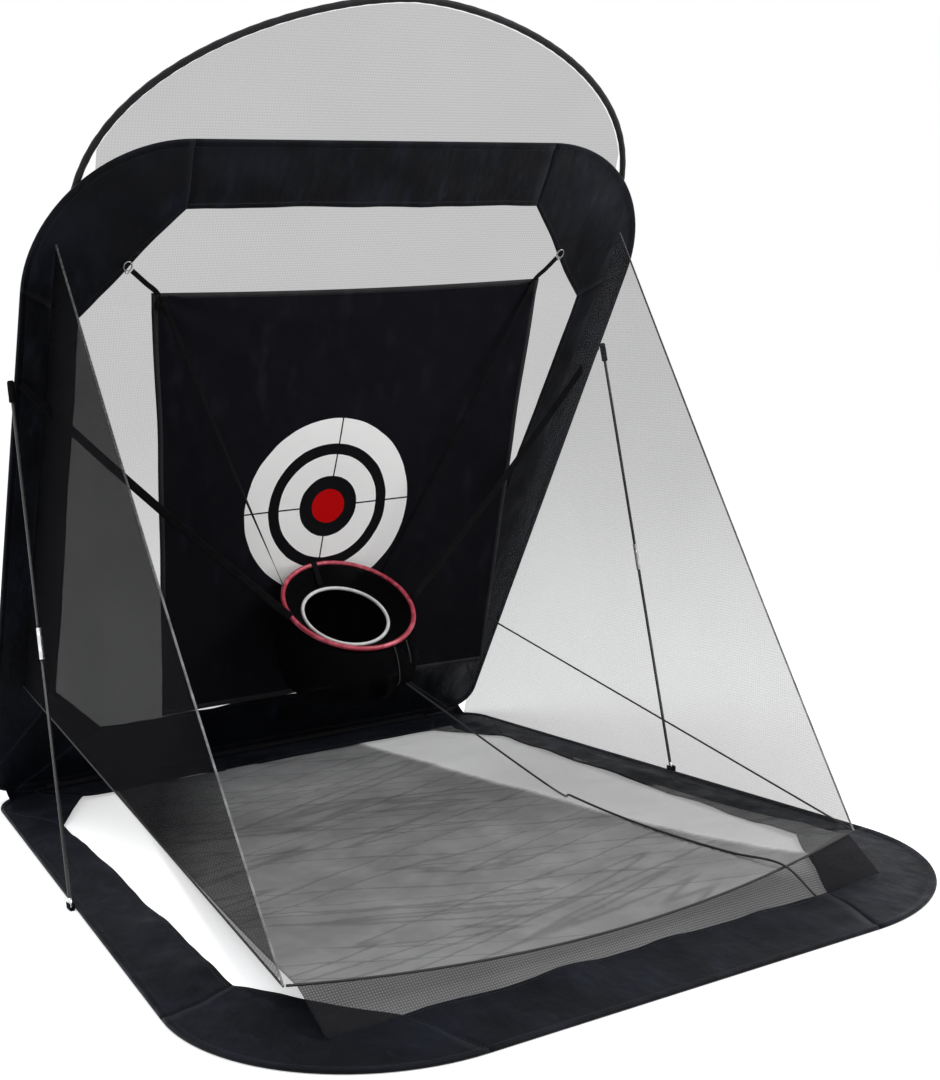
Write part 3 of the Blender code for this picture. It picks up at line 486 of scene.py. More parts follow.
def floor_net_finish():
    """Grey mesh with painted shade along crease lines, thinner and lighter where it lies over the opening's
    right side.
    """
    light = (0.30, 0.30, 0.302)
    f = net_finish("floor net", (0.23, 0.23, 0.232), (1, 0, 0), (0, 1, 0), 0.0075, 0.86, 0.03, light)
    # Painted shade: the colour darkens along long thin crease lines.
    for turn, size, length in ((22, 0.11, 14.0), (-16, 0.13, 12.0)):
        fold = f.noise(size, 1.2, (1 / length, 1, size), turn)
        ridge = f.math("ABSOLUTE", f.math("SUBTRACT", fold, 0.5))
        f.colour(f.blend(f.spread(ridge, 0.0, 0.020, 0.40, 0.0), f.shade(), (0.06, 0.06, 0.061)))
    past = f.spread(f.along((0.985, 0.172, 0), (0.46, -0.2, 0)), 0.0, 0.03, 0.0, 0.58)
    f.alpha(f.math("SUBTRACT", f.cover, past))
    return f


def left_net_finish():
    """The left side net, seen along its threads: dense behind the opening, thin low down at the front."""
    f = net_finish("side net left", (0.006, 0.006, 0.007), SLANT, (0, 0.8, 0.6), 0.0100, 0.72, 0.05)
    f.alpha(f.math("SUBTRACT", f.cover, f.spread(f.along((0, 1, 0.6)), -0.25, 0.05, 0.36, 0.0)))
    return f


def binding_finish():
    """The side nets' braided edge: dark, with a painted highlight along its lower part."""
    f = cord_finish("net binding", (0.012, 0.012, 0.013), (0.10, 0.10, 0.105))
    # Painted highlight: the cord is lightened in noisy flecks below a height.
    low = f.spread(f.along((0, 0, 1)), 0.55, 0.95, 1.0, 0.0)
    painted_highlight_noise = f.spread(f.noise(0.030, 3.0), 0.35, 0.65, 0.25, 0.85)
    f.colour(f.blend(f.math("MULTIPLY", low, painted_highlight_noise), f.shade(), (0.34, 0.34, 0.35)))
    return f


def webbing_finish():
    f = Finish("webbing", (0.002, 0.002, 0.0025), 0.8, Specular_IOR_Level=0.08)
    f.colour(f.blend(f.spread(f.noise(0.02), 0.4, 0.7), (0.0015, 0.0015, 0.002), (0.004, 0.004, 0.005)))
    f.bump(f.weave((0.8, 0.6, 0), (0.5, -0.5, 0.7), 0.0016), 0.0003, 0.8)
    return f


def cord_finish(name, colour, light):
    f = Finish(name, colour, 0.6, Sheen_Weight=0.1)
    f.colour(f.blend(f.spread(f.noise(0.006, 2.0), 0.45, 0.7), colour, light))
    f.bump(f.noise(0.0012, 2.0), 0.0002)
    return f


def ring_finish(name, colour, light, roughness):
    """A plastic-coated wire ring with scuffs."""
    f = Finish(name, colour, roughness, Coat_Weight=0.25, Coat_Roughness=0.25)
    f.colour(f.blend(f.spread(f.noise(0.018, 4.0), 0.45, 0.68), colour, light))
    f.rough(0.012, roughness - 0.12, roughness + 0.12)
    f.bump(f.noise(0.004, 2.0), 0.0002)
    return f


def metal_finish(name, colour, roughness, grain):
    f = Finish(name, colour, roughness, Metallic=1.0)
    f.rough(0.01, roughness - 0.1, roughness + 0.12, grain)
    f.bump(f.noise(0.003, 2.0, grain), 0.00008)
    return f


BULLSEYE_R, CROSS_SLANT, CROSS_HALF = 0.226, 0.12, 0.0019
PRINT_BLACK, PRINT_WHITE, PRINT_RED = (0.004, 0.004, 0.005, 1), (0.94, 0.94, 0.94, 1), (0.50, 0.001, 0.002, 1)
PRINT_RINGS = ((0.0, PRINT_RED), (0.193, PRINT_BLACK), (0.347, PRINT_WHITE), (0.590, PRINT_BLACK),
               (0.715, PRINT_WHITE))      # where each ring starts, as a share of the bullseye


def target_finish(centre, down, front):
    """The printed target: round rings and a thin cross over the pale ones, on black cloth."""
    # The cloth's second colour is painted sheen in patches, with painted highlight streaks.
    f = cloth_finish("target cloth", (0.0040, 0.0037, 0.0058), (0.0050, 0.0047, 0.0070), 0.85, 0.0010, 0.06)
    x = f.along((1, 0, 0), centre)
    s = f.along(down, centre)
    wobble = f.math("MULTIPLY_ADD", f.noise(0.05, 2.0), 0.004, -0.002)
    squares = f.math("ADD", f.math("MULTIPLY", x, x), f.math("MULTIPLY", s, s))
    share = f.math("DIVIDE", f.math("ADD", f.math("SQRT", squares), wobble), BULLSEYE_R)
    ramp = f.node("ValToRGB")
    ramp.color_ramp.interpolation = "CONSTANT"
    for k, (at, colour) in enumerate(PRINT_RINGS):
        stop = ramp.color_ramp.elements[k] if k < 2 else ramp.color_ramp.elements.new(at)
        stop.position, stop.color = at, colour
    f.wire(share, ramp.inputs[0])
    slanted = f.math("ADD", x, f.math("MULTIPLY", s, CROSS_SLANT))
    near = f.math("MINIMUM", f.math("ABSOLUTE", slanted), f.math("ABSOLUTE", s))
    line = f.math("LESS_THAN", near, CROSS_HALF)
    off_red = f.math("GREATER_THAN", share, 0.2)
    print_colour = f.blend(f.math("MULTIPLY", line, off_red), ramp.outputs[0], PRINT_BLACK[:3])
    facing = f.node("VectorMath", operation="DOT_PRODUCT")
    f.wire(f.node("TexCoord").outputs["Normal"], facing.inputs[0])
    facing.inputs[1].default_value = tuple(front)
    printed = f.math("GREATER_THAN", facing.outputs["Value"], 0.0)
    inside_print = f.math("MULTIPLY", f.math("LESS_THAN", share, 1.0), printed)
    f.colour(f.blend(inside_print, f.shade(), print_colour))
    return f


# The second colour of each cloth is its painted sheen; its streaks are painted highlights at twice that
# colour.
BAND = cloth_finish("band cloth", (0.0012, 0.0014, 0.0026), (0.0048, 0.0060, 0.0110), 0.52, 0.0070, 0.09).mat
SLEEVE = cloth_finish("sleeve cloth", (0.0050, 0.0050, 0.0062), (0.009, 0.009, 0.011), 0.62, 0.0008).mat
THREAD = cord_finish("stitching thread", (0.012, 0.012, 0.014), (0.03, 0.03, 0.034)).mat
WEBBING = webbing_finish().mat
CORD = cord_finish("black cord", (0.0018, 0.0018, 0.0020), (0.006, 0.006, 0.007)).mat
BINDING = binding_finish().mat
PALE = net_finish("pale net", (0.020, 0.020, 0.021), (1, 0, 0), UP_SLOPE, 0.0066, 0.262, 0.026).mat
SIDE_LEFT = left_net_finish().mat
SIDE_RIGHT = net_finish("side net right", (0.085, 0.087, 0.095), Y, Z, 0.0066, 0.295, 0.026).mat
FLOOR_NET = floor_net_finish().mat
LIP_NET = net_finish("lip net", (0.018, 0.018, 0.020), (1, 0, 0), (0, 0.9, 0.43), 0.0060, 0.52, 0.10).mat
BASKET_NET = net_finish("basket net", (0.0015, 0.0015, 0.002), (0.8, 0.6, 0), (0.3, -0.3, 0.9), 0.0080,
                        0.66, 0.12).mat
RED = ring_finish("red ring", (0.36, 0.016, 0.040), (0.62, 0.10, 0.15), 0.38).mat
WHITE = ring_finish("white ring", (0.62, 0.62, 0.62), (0.80, 0.80, 0.79), 0.42).mat
HOOK_METAL = metal_finish("hook metal", (0.32, 0.32, 0.34), 0.32, (1, 1, 1)).mat
STEEL = metal_finish("spring steel", (0.30, 0.31, 0.33), 0.35, (1, 1, 1)).mat
FERRULE = metal_finish("bright ferrule", (0.78, 0.78, 0.80), 0.26, (3, 3, 0.4)).mat
ROD = ring_finish("fibre rod", (0.010, 0.010, 0.011), (0.018, 0.018, 0.019), 0.34).mat


# ---- loose cords
CORD_SPAN = FRONT_CORNER_X - CORD_R - FRONT_CORD_R - SEAT       # half the front cord's reach
NET_SHARE = 0.975       # of the front cord, taken up by the nets that hang on it
GROUND_LAY = ((0.484, 0.42), (0.474, 0.50), (0.466, 0.58), (0.462, 0.66), (0.462, 0.74), (0.466, 0.82),
              (0.472, 0.90))        # on the floor net: x, and share of the net's length
GROUND_START, GROUND_HOP_X, GROUND_END = (0.470, 0.165), 0.475, (0.487, 0.200)


def front_edge(u):
    """The front cord's line, u from -1 at the left corner to 1 at the right."""
    slack = 1 - u * u
    y = DEPTH / 2 - FRONT_CORNER_Y - FRONT_CORD_BOW * slack
    return Vector((u * CORD_SPAN, y, CORNER_H - FRONT_CORD_SAG * slack))


def floor_edges(v):
    """Left and right edge of the floor net: straight on the left, along the base's opening on the right."""
    front = NET_SHARE * CORD_SPAN
    length = FRONT_CORNER_Y - FLOOR_NET_REAR_Y
    turns = [((y - FLOOR_NET_REAR_Y) / length, x + FLOOR_NET_LAP) for x, y in BASE_OPENING[1:3]]
    turns = [(0.0, FLOOR_NET_RIGHT_X), *turns, (1.0, front)]
    k = max(i for i in range(3) if turns[i][0] <= v)
    (v0, x0), (v1, x1) = turns[k], turns[k + 1]
    return -FLOOR_NET_LEFT_X - (front - FLOOR_NET_LEFT_X) * v, x0 + (x1 - x0) * (v - v0) / (v1 - v0)


def floor_surface(u, v):
    """The floor net: flat at its rear, drawn up to the front cord, and low along its right edge."""
    front = front_edge(NET_SHARE * (2 * u - 1)) + Vector((0, FRONT_CORD_R + SEAT, 0))
    left, right = floor_edges(v)
    rear = DEPTH / 2 - FLOOR_NET_REAR_Y
    lift = (front.z - REST_Z) * v ** (2 + 4 * u ** 4)
    return Vector((left + (right - left) * u, rear + (front.y - rear) * v, REST_Z + lift))


def on_net(x, v):
    left, right = floor_edges(v)
    return floor_surface((x - left) / (right - left), v) + Z * (NET_T / 2 + 0.0013 + GROUND_CORD_R)


def ground_route():
    """From the upright's low right corner over the floor net and the front cord to the front band."""
    over = GROUND_CORD_R + 0.001
    start = on_upright(*GROUND_START, CLOTH / 2 + SEAT + GROUND_CORD_R)
    hop = front_edge(GROUND_HOP_X / FRONT_CORNER_X) + Z * (FRONT_CORD_R + over)
    end = Vector((GROUND_END[0], GROUND_END[1] - DEPTH / 2, REST_Z + NET_T / 2 + over))
    return [start, *(on_net(*p) for p in GROUND_LAY), hop, end]


route = resampled(ground_route(), 0.012)
ground_cord = dress("ground_cord", "", CORD, twisted(route, GROUND_CORD_R, 0.016))
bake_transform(ground_cord)


# ---- cloth bands on the hoops
def rounded(corners, radii, steps):
    """For each corner of a polygon, the points of its rounded arc with their inward normals."""
    arcs = []
    for i, (c, r) in enumerate(zip(corners, radii)):
        a = (corners[i - 1] - c).normalized()
        b = (corners[(i + 1) % len(corners)] - c).normalized()
        half = a.angle(b) / 2
        centre = c + (a + b).normalized() * r / math.sin(half)
        reach = r / math.tan(half)
        start, end = (c + a * reach - centre).normalized(), (c + b * reach - centre).normalized()
        spokes = [start.slerp(end, k / steps) for k in range(steps + 1)]
        arcs.append([(centre + spoke * r, -spoke) for spoke in spokes])
    return arcs


HEM_W, FOLD_W = 0.0145, 0.0135      # stitched width of the hoop's hem and of the inner edge's fold


def hem_profile(width):
    """(distance from the hoop, half thickness) of the cloth outside the hem's tube."""
    rows = [(0.0105, 0.0030), (HEM_W - 0.001, 0.0013), (HEM_W + 0.0005, 0.0008)]
    inner = width - FOLD_W
    rows += [(HEM_W + 0.002 + (inner - HEM_W - 0.005) * k / 11, 0.0008) for k in range(12)]
    return rows + [(inner - 0.0005, 0.0008), (inner + 0.0008, 0.0014), (width - 0.0015, 0.0014)]


def cloth_lift(kind, p, share):
    """How far the loose cloth stands off its plane; share is 0 at the hoop and 1 at the inner edge."""
    free = smooth(share * 1.6)
    if kind == "base":
        wave = wander(p.x, p.y, 0.16, 3.1) * 0.010 + wander(p.x, p.y, 0.06, 8.2) * 0.003 + 0.004
        return free * max(wave, -0.003)
    calm = 0.25 + 0.75 * smooth((abs(p.x) - 0.70) / 0.05) if abs(p.x) > 0.64 else 1.0
    wave = wander(p.x, p.y, 0.17, 1.7) * 0.011 + wander(p.x, p.y, 0.07, 5.5) * 0.0035
    return free * wave * calm


seam_lines = {"base": [], "upright": []}


def band(kind, name, outer, inner, plane):
    """Cloth folded round the hoop and stitched, then a strip to its folded inner edge."""
    normal = (plane(0, 0, 1) - plane(0, 0, 0)).normalized()
    turns = [math.radians(65 + k * 230 / 12) for k in range(13)]
    sections, hem_row, fold_row = [], [], []
    for (o, inward), i in zip(outer, inner):
        d = (plane(*(o + inward)) - plane(*o)).normalized()
        width = (i - o).length
        run = (i - o) / width
        scallop = 0.004 * wander(o.x, o.y, 0.22, 9.0)
        hem = [plane(*o) + HEM_R * (math.cos(t) * d + math.sin(t) * normal) for t in turns]
        upper, under = [], []
        for dist, half in hem_profile(width):
            share = dist / width
            p = o + run * (dist + scallop * share * share)
            middle = plane(*p) + normal * cloth_lift(kind, p, share)
            upper.append(middle + normal * half)
            under.append(middle - normal * half)
        hem_row.append((upper[1], normal))
        fold_row.append((upper[-2], normal))
        edge = (upper[-1] + under[-1]) / 2 + plane(*(run * 0.0015)) - plane(0, 0)
        sections.append([*upper[::-1], *hem, *under, edge])
    off_end = (sections[1][2] - sections[0][2]).normalized() * 0.003
    seam_lines[kind] += [hem_row, fold_row, [(p + off_end, normal) for p in sections[0][2:17]]]
    piece = dress(name, kind, BAND, skin(sections))


def even(a, b, steps):
    return [a.lerp(b, k / steps) for k in range(steps + 1)]


def framed(kind, names, corners, radii, window, plane):
    """A hoop's cloth: eight panels round an octagonal opening."""
    arcs = rounded([Vector(c) for c in corners], radii, 28)
    chamfers = [(Vector(window[2 * i]), Vector(window[2 * i + 1])) for i in range(4)]
    for i in range(4):
        arc, (p, q), after = arcs[i], chamfers[i], arcs[(i + 1) % 4]
        band(kind, f"{kind}_corner_{names[i][0]}", arc, even(p, q, len(arc) - 1), plane)
        (a, a_in), (b, b_in) = arc[-1], after[0]
        steps = max(8, round((a - b).length / 0.022))
        outer = [(a.lerp(b, k / steps), a_in.lerp(b_in, k / steps).normalized()) for k in range(steps + 1)]
        band(kind, f"{kind}_band_{names[i][1]}", outer, even(q, chamfers[(i + 1) % 4][0], steps), plane)
    return arcs


base_rear_x, base_front_x = BASE_REAR_W / 2 - HEM_R, BASE_FRONT_W / 2 - HEM_R
base_front_y = DEPTH - HEM_R
framed(
    "base",
    [("rear_left", "left"), ("front_left", "front"), ("front_right", "right"), ("rear_right", "rear")],
    [(-base_rear_x, BASE_REAR_SET), (-base_front_x, base_front_y), (base_front_x, base_front_y),
     (base_rear_x, BASE_REAR_SET)],
    [BASE_REAR_R, BASE_FRONT_R, BASE_FRONT_R, BASE_REAR_R],
    [*((-x, y) for x, y in BASE_OPENING), *reversed(BASE_OPENING)], on_floor,
)
low_x, top_x = UP_LOW_W / 2 - HEM_R, UP_TOP_W / 2 - HEM_R
up_left = [(-x, v) for x, v in reversed(UP_OPENING)]
up_arcs = framed(
    "upright",
    [("low_left", "bottom"), ("low_right", "right"), ("top_right", "top"), ("top_left", "left")],
    [(-low_x, UP_LOW_SET), (low_x, UP_LOW_SET), (top_x, UP_H - HEM_R), (-top_x, UP_H - HEM_R)],
    [UP_LOW_R, UP_LOW_R, UP_TOP_R, UP_TOP_R], [*up_left[2:], *UP_OPENING, *up_left[:2]], on_upright,
)
for kind, lines in seam_lines.items():
    add(f"{kind}_stitching", kind, THREAD, stitches(lines))


def base_side_x(y):
    """Half the base hoop's width along its straight sides."""
    return base_rear_x + (base_front_x - base_rear_x) * y / DEPTH


tape_x = min(base_rear_x - BASE_REAR_R, low_x - UP_LOW_R)
REAR_Y = DEPTH / 2 - BASE_REAR_SET


def tape_surface(u, v):
    pucker = abs(0.0012 * math.sin(u * 19) * math.sin(v * math.pi))
    return Vector(((2 * u - 1) * tape_x, REAR_Y + HEM_R + SEAT + NET_T / 2 + pucker,
                   HINGE_Z + (v - 0.5) * TAPE_W))


tape = dress("hinge_tape", "", SLEEVE, sheet_of(tape_surface, 60, 6, NET_T))
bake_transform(tape)
GUSSET_X, GUSSET_LAP, GUSSET_IN = 0.705, 0.02, 0.002


def gusset_surface(u, v, s):
    """Loose cloth between the two rear hems where their corners round away from each other."""
    x = tape_x - GUSSET_LAP + (GUSSET_X - tape_x + GUSSET_LAP) * u
    past_base = max(x - (base_rear_x - BASE_REAR_R), 0)
    past_up = max(x - (low_x - UP_LOW_R), 0)
    base_y = BASE_REAR_R - math.sqrt(BASE_REAR_R ** 2 - past_base ** 2)
    up_v = UP_LOW_R - math.sqrt(UP_LOW_R ** 2 - past_up ** 2)
    low = Vector((x, REAR_Y - base_y - GUSSET_IN, 2 * HEM_R - 0.001))
    high = on_upright(x, UP_LOW_SET + up_v + GUSSET_IN, HEM_R)
    p = low.lerp(high, v) + Y * 0.004 * math.sin(math.pi * v)
    return Vector((p.x * s, p.y, p.z))


for side, s in SIDES:
    shape = sheet_of(lambda u, v, s=s: gusset_surface(u, v, s), 24, 8, NET_T)
    gusset = add(f"hinge_gusset_{side}", "", BAND, shape)
    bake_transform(gusset)


# ---- nets
BACK_NET_LOW, BACK_NET_HIGH = UP_OPENING[0][1] - BACK_NET_LAP, UP_OPENING[3][1] + BACK_NET_LAP


def window_half(v):
    """Half the back net's width at a height up the slope, a lap outside the opening's sides."""
    rows = [(BACK_NET_LOW, UP_OPENING[0][0]), *((high, x + BACK_NET_LAP) for x, high in UP_OPENING[1:3]),
            (BACK_NET_HIGH, UP_OPENING[3][0])]
    for (v0, x0), (v1, x1) in zip(rows, rows[1:]):
        if v <= v1 or v1 == rows[-1][0]:
            return x0 + (x1 - x0) * (v - v0) / (v1 - v0)


def back_surface(u, v):
    height = BACK_NET_LOW + (BACK_NET_HIGH - BACK_NET_LOW) * v
    belly = BACK_NET_BELLY * 16 * u * (1 - u) * v * (1 - v)
    sag = belly + 0.005 * wander(u, v, 0.3, 4.0) * inside(u, v, 8)
    return on_upright((2 * u - 1) * window_half(height), height, -CLOTH / 2 - SEAT - NET_T / 2 - sag)


net = dress("back_net", "upright", PALE, sheet_of(back_surface, 44, 56, NET_SKIN))
# Sets of folds in the floor net: turn, width, seed of the noise and share.
FOLDS = ((0.35, 0.030, 1.3, 0.45), (-0.55, 0.024, 6.1, 0.35), (1.35, 0.034, 3.7, 0.3))


def creases(x, y):
    """Height of the floor net's wrinkles: long thin folds in three directions, over slow swells."""
    warp = 0.35 * wander(x, y, 0.5, 2.2)
    fold = 0.0
    for turn, size, seed, part in FOLDS:
        a = turn + warp
        along, across = x * math.cos(a) + y * math.sin(a), -x * math.sin(a) + y * math.cos(a)
        ridge = 1 - 2 * abs(noise.noise(Vector((along / 0.30, across / size, seed))))
        fold += part * max(ridge, 0) ** 3
    return 0.0042 * fold + 0.003 * wander(x, y, 0.16, 7.7)


def floor_net_surface(u, v):
    p = floor_surface(u, v)
    edge = smooth(min(u, 1 - u) * 14) * smooth(min(v, 1 - v) * 18)
    return p + Z * max(edge * creases(p.x, p.y), -0.004 if p.z > 0.012 else -0.0005)


net = dress("floor_net", "base", FLOOR_NET, sheet_of(floor_net_surface, 170, 230, NET_SKIN))


def lip_surface(u, v):
    top = front_edge(NET_SHARE * (2 * u - 1)) - Vector((0, FRONT_CORD_R + SEAT + 0.001, 0))
    p = top.lerp(Vector((LIP_X * (2 * u - 1), LIP_FRONT_Y - DEPTH / 2, REST_Z)), v)
    return p + Z * (smooth(min(v, 1 - v) * 5) * 0.003 * (wander(p.x, p.y, 0.05, 2.0) + 0.5))


net = dress("lip_net", "base", LIP_NET, sheet_of(lip_surface, 150, 10, NET_SKIN))

front = [front_edge(k / 24 - 1) for k in range(49)]
dress("front_cord", "base", CORD, twisted(front, FRONT_CORD_R))


def net_corner(s):
    return Vector((s * FRONT_CORNER_X, DEPTH / 2 - FRONT_CORNER_Y, CORNER_H))


def net_tie(s, x, v):
    """Where a side net's cord leaves the upright's cloth."""
    return on_upright(s * x, v, CLOTH / 2 + SEAT + CORD_R / 2)


def side_net(side, s, mat, steps=30):
    """A side net, its braided front edge and its lower cord, which meet at the front corner."""
    corner, top, low = net_corner(s), net_tie(s, SIDE_TOP_X, SIDE_TOP_V), net_tie(s, SIDE_LOW_X, SIDE_LOW_V)
    line = (top - corner).normalized()
    inward = (low + top) / 2 - corner
    inward = (inward - inward.dot(line) * line).normalized() * SIDE_BOW[side]
    low_line = even(corner, low, steps)
    front_line = [p + inward * math.sin(math.pi * k / steps) for k, p in enumerate(even(corner, top, steps))]
    flat = (top - corner).cross(low - corner).normalized()

    def side_surface(u, v):
        """u runs from the upright's band to the front corner, v from the lower cord to the front one."""
        k = min((1 - u) * 0.985 + 0.015, 1.0) * steps
        i = min(int(k), steps - 1)
        p = low_line[i].lerp(low_line[i + 1], k - i).lerp(front_line[i].lerp(front_line[i + 1], k - i), v)
        wave = 0.006 * wander(p.y, p.z, 0.30, 3.0 + s) + 0.0025 * wander(p.y, p.z, 0.07, 6.0 + s)
        return p + flat * inside(u, v, 6) * wave

    net = dress(f"side_net_{side}", "", mat, sheet_of(side_surface, 90, 50, NET_SKIN))
    edging = dress(f"side_cord_{side}", "", BINDING, twisted(front_line, CORD_R, 0.011, hint=X))
    low_cord = add(f"side_cord_{side}_low_piece", "", CORD, twisted(low_line, CORD_R, 0.011, hint=X))
    for piece in (net, edging, low_cord):
        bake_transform(piece)


side_net("left", -1, SIDE_LEFT)
side_net("right", 1, SIDE_RIGHT)
SKIRT_TOP, SKIRT_LOW = net_corner(1), net_tie(1, SIDE_LOW_X, SIDE_LOW_V)


def skirt_surface(u, v):
    """The net under the right cord: u from the upright to the front corner, v from the base to the cord."""
    y = SKIRT_REAR_Y + (SKIRT_FRONT_Y - SKIRT_REAR_Y) * u
    setback = SKIRT_REAR_SETBACK + (SKIRT_FRONT_SETBACK - SKIRT_REAR_SETBACK) * u
    foot = Vector((base_side_x(y) - setback, DEPTH / 2 - y, REST_Z))
    cord = SKIRT_TOP.lerp(SKIRT_LOW, 1 - 0.94 * u)
    p = foot.lerp(cord + (foot - cord).normalized() * (CORD_R + SEAT), v)
    return p + X * (0.006 * wander(p.y, p.z, 0.25, 5.0) * inside(u, v, 5))


net = dress("side_skirt_right", "", SIDE_RIGHT, sheet_of(skirt_surface, 90, 20, NET_SKIN))
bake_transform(net)


# ---- arch
ARCH_W_OFF = -(HEM_R + SEAT + ARCH_SLEEVE_R)
ARCH_RISE, ARCH_HALF = ARCH_TOP - ARCH_SLEEVE_R - ARCH_FOOT, ARCH_W / 2 - ARCH_SLEEVE_R
SLEEVE_SEAM = 5         # which of the sleeve's 20 sides stands out as its seam


def arch_point(t, inset=0.0):
    """A place on the arch, t from 0 at its left foot to 1 at its right one: x, and height up the slope."""
    a = math.pi * (1 - t)
    c, s = math.cos(a), math.sin(a)
    return (math.copysign(abs(c) ** 1.2, c) * (ARCH_HALF - inset),
            ARCH_FOOT + abs(s) ** 0.9 * (ARCH_RISE - inset))


def hem_height(x):
    """Height of the upright's outer edge at x, along its top."""
    line = [p for p, _ in (*up_arcs[2], *up_arcs[3])]
    for p, q in zip(line, line[1:]):
        if q.x <= x <= p.x:
            return p.y + (q.y - p.y) * (x - p.x) / (q.x - p.x) if p.x > q.x else p.y
    return line[0].y


def arch_net_surface(u, v):
    x, high = arch_point(0.085 + 0.83 * u, 0.0105 + SEAT)
    low = min(hem_height(x), high - 0.01)
    belly = 0.006 * wander(u, v, 0.35, 2.5) * inside(u, v, 6)
    w = -(HEM_R + SEAT + NET_T / 2) + (ARCH_W_OFF + HEM_R) * v - abs(belly)
    return on_upright(x, low + (high - low) * v, w)


net = dress("arch_net", "", PALE, sheet_of(arch_net_surface, 90, 24, NET_SKIN))
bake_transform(net)
arch_path = resampled([on_upright(*arch_point(k / 56), ARCH_W_OFF) for k in range(57)], 0.008)
sleeve = []
for p, d, s in zip(arch_path, directions(arch_path), lengths(arch_path)):
    pucker = 1 + 0.035 * math.sin(s / 0.0065) + 0.05 * noise.noise(Vector((s / 0.03, 0, 1.0)))
    r = 0.95 * ARCH_SLEEVE_R * min(pucker, 1.05)
    sleeve.append([p + (q - p) * r * (1.10 if k == SLEEVE_SEAM else 1.0)
                   for k, q in enumerate(circle(p, d, 1.0, 20, FACE_OUT))])
dress("arch_sleeve", "arch", SLEEVE, skin(sleeve))


# ---- target sheet
SHEET_DOWN = Vector((0, math.sin(math.radians(SHEET_LEAN)), -math.cos(math.radians(SHEET_LEAN))))
SHEET_OUT = Vector((0, -math.cos(math.radians(SHEET_LEAN)), -math.sin(math.radians(SHEET_LEAN))))
SHEET_TOP = on_upright(0, HOOK_V) + Y * HOOK_SETBACK - Z * HOOK_DROP
HEM_SHARE = 0.975       # of the sheet, inside its hem


def on_sheet(x, s, q=0.0):
    """A point of the sheet's plane: s runs down it, q is towards the golfer."""
    return SHEET_TOP + X * x + SHEET_DOWN * s + SHEET_OUT * q


def sheet_surface(u, v):
    """Drawn tight between the top corners, with pulls below them, and free at the bottom."""
    half = (SHEET_TOP_W + (SHEET_LOW_W - SHEET_TOP_W) * v) / 2
    drawn = 0.006 * math.sin(math.pi * v) + 0.003 * wander(v, 0, 0.2, 4.0)
    x = (2 * u - 1) * (half - drawn)
    dip = 0.008 * math.sin(math.pi * u) * (1 - v) ** 6
    s = v * SHEET_H + dip
    edge = smooth(min(u, 1 - u) * 5) * smooth(v * 6)
    pulls = 0.0
    for corner in (-1, 1):
        dx = x - corner * half
        reach = math.hypot(dx, s)
        fan = math.sin(math.atan2(s, -corner * dx) * 11)
        pulls += 0.004 * fan * math.exp(-reach / 0.16) * smooth(reach / 0.05)
    near = max(0.0, 1 - math.hypot(x - RING_X, s - RING_DROP) / 0.22)
    q = edge * (1 - near) * (0.006 * wander(x, s, 0.28, 2.0) - 0.003) + pulls
    return on_sheet(x, s, max(min(q, 0.004), -0.012))


BULLSEYE = on_sheet(-0.041, 0.552)
target = dress("target_sheet", "target", target_finish(BULLSEYE, SHEET_DOWN, SHEET_OUT).mat,
               sheet_of(sheet_surface, 96, 96, 0.0011))
hems = []
steps = [k / 96 for k in range(97)]
for row in ([(k, 0.0) for k in steps], [(k, 1.0) for k in steps],
            [(0.0, k) for k in steps], [(1.0, k) for k in steps]):
    strip = []
    for u, v in row:
        p = sheet_surface(u, v)
        i = sheet_surface(0.5 + (u - 0.5) * HEM_SHARE, 0.5 + (v - 0.5) * HEM_SHARE)
        strip.append([p + SHEET_OUT * 0.0011, p - SHEET_OUT * 0.0011, i - SHEET_OUT * 0.0009,
                      i + SHEET_OUT * 0.0011])
    hems.append(skin(strip))
hem = add("target_hem", "target", SLEEVE, joined(*hems))


# ---- basket
RING_UP = Vector((0, -math.sin(math.radians(RING_TILT)), math.cos(math.radians(RING_TILT))))
RING_BACK = Vector((0, math.cos(math.radians(RING_TILT)), math.sin(math.radians(RING_TILT))))
PIVOT = on_sheet(RING_X, RING_DROP, NET_T / 2 + SEAT + RING_WIRE_R)
RING_C = PIVOT - RING_BACK * RING_R


def on_ring(turn, r, h=0.0):
    """A point near the ring: turn is 0 to the right and 90 at the back, h is above its plane."""
    t = math.radians(turn)
    return RING_C + RING_UP * h + r * (math.cos(t) * X + math.sin(t) * RING_BACK)


def wrapped_ring(centre, radius, wire, around, lap):
    """A ring of wire in a wound strip: each lap stands a little over the next."""
    sections = []
    for k, c in enumerate(circle(centre, RING_UP, radius, around, X)):
        out = (c - centre).normalized()
        edge = (k * lap / around) % 1.0
        r = wire * (0.95 + 0.05 * edge)
        sections.append(circle(c, RING_UP.cross(out), r, 14, out))
    return skin(sections, closed=True)


INNER_C = RING_C - RING_UP * FUNNEL_H
dress("basket_ring", "basket", RED, wrapped_ring(RING_C, RING_R, RING_WIRE_R, 480, 60))
dress("basket_inner_ring", "inner_ring", WHITE,
      wrapped_ring(INNER_C, INNER_RING_R, INNER_WIRE_R, 360, 45))
WIDE, NARROW = RING_R - RING_WIRE_R - SEAT, INNER_RING_R + INNER_WIRE_R + 2 * SEAT


def funnel_surface(u, v):
    sag = 0.0045 * math.sin(math.pi * v) * (1 + 0.5 * math.sin(u * 2 * math.pi * 9))
    r = WIDE + (NARROW - WIDE) * v
    return on_ring(360 * u, r, -FUNNEL_H * v - sag)


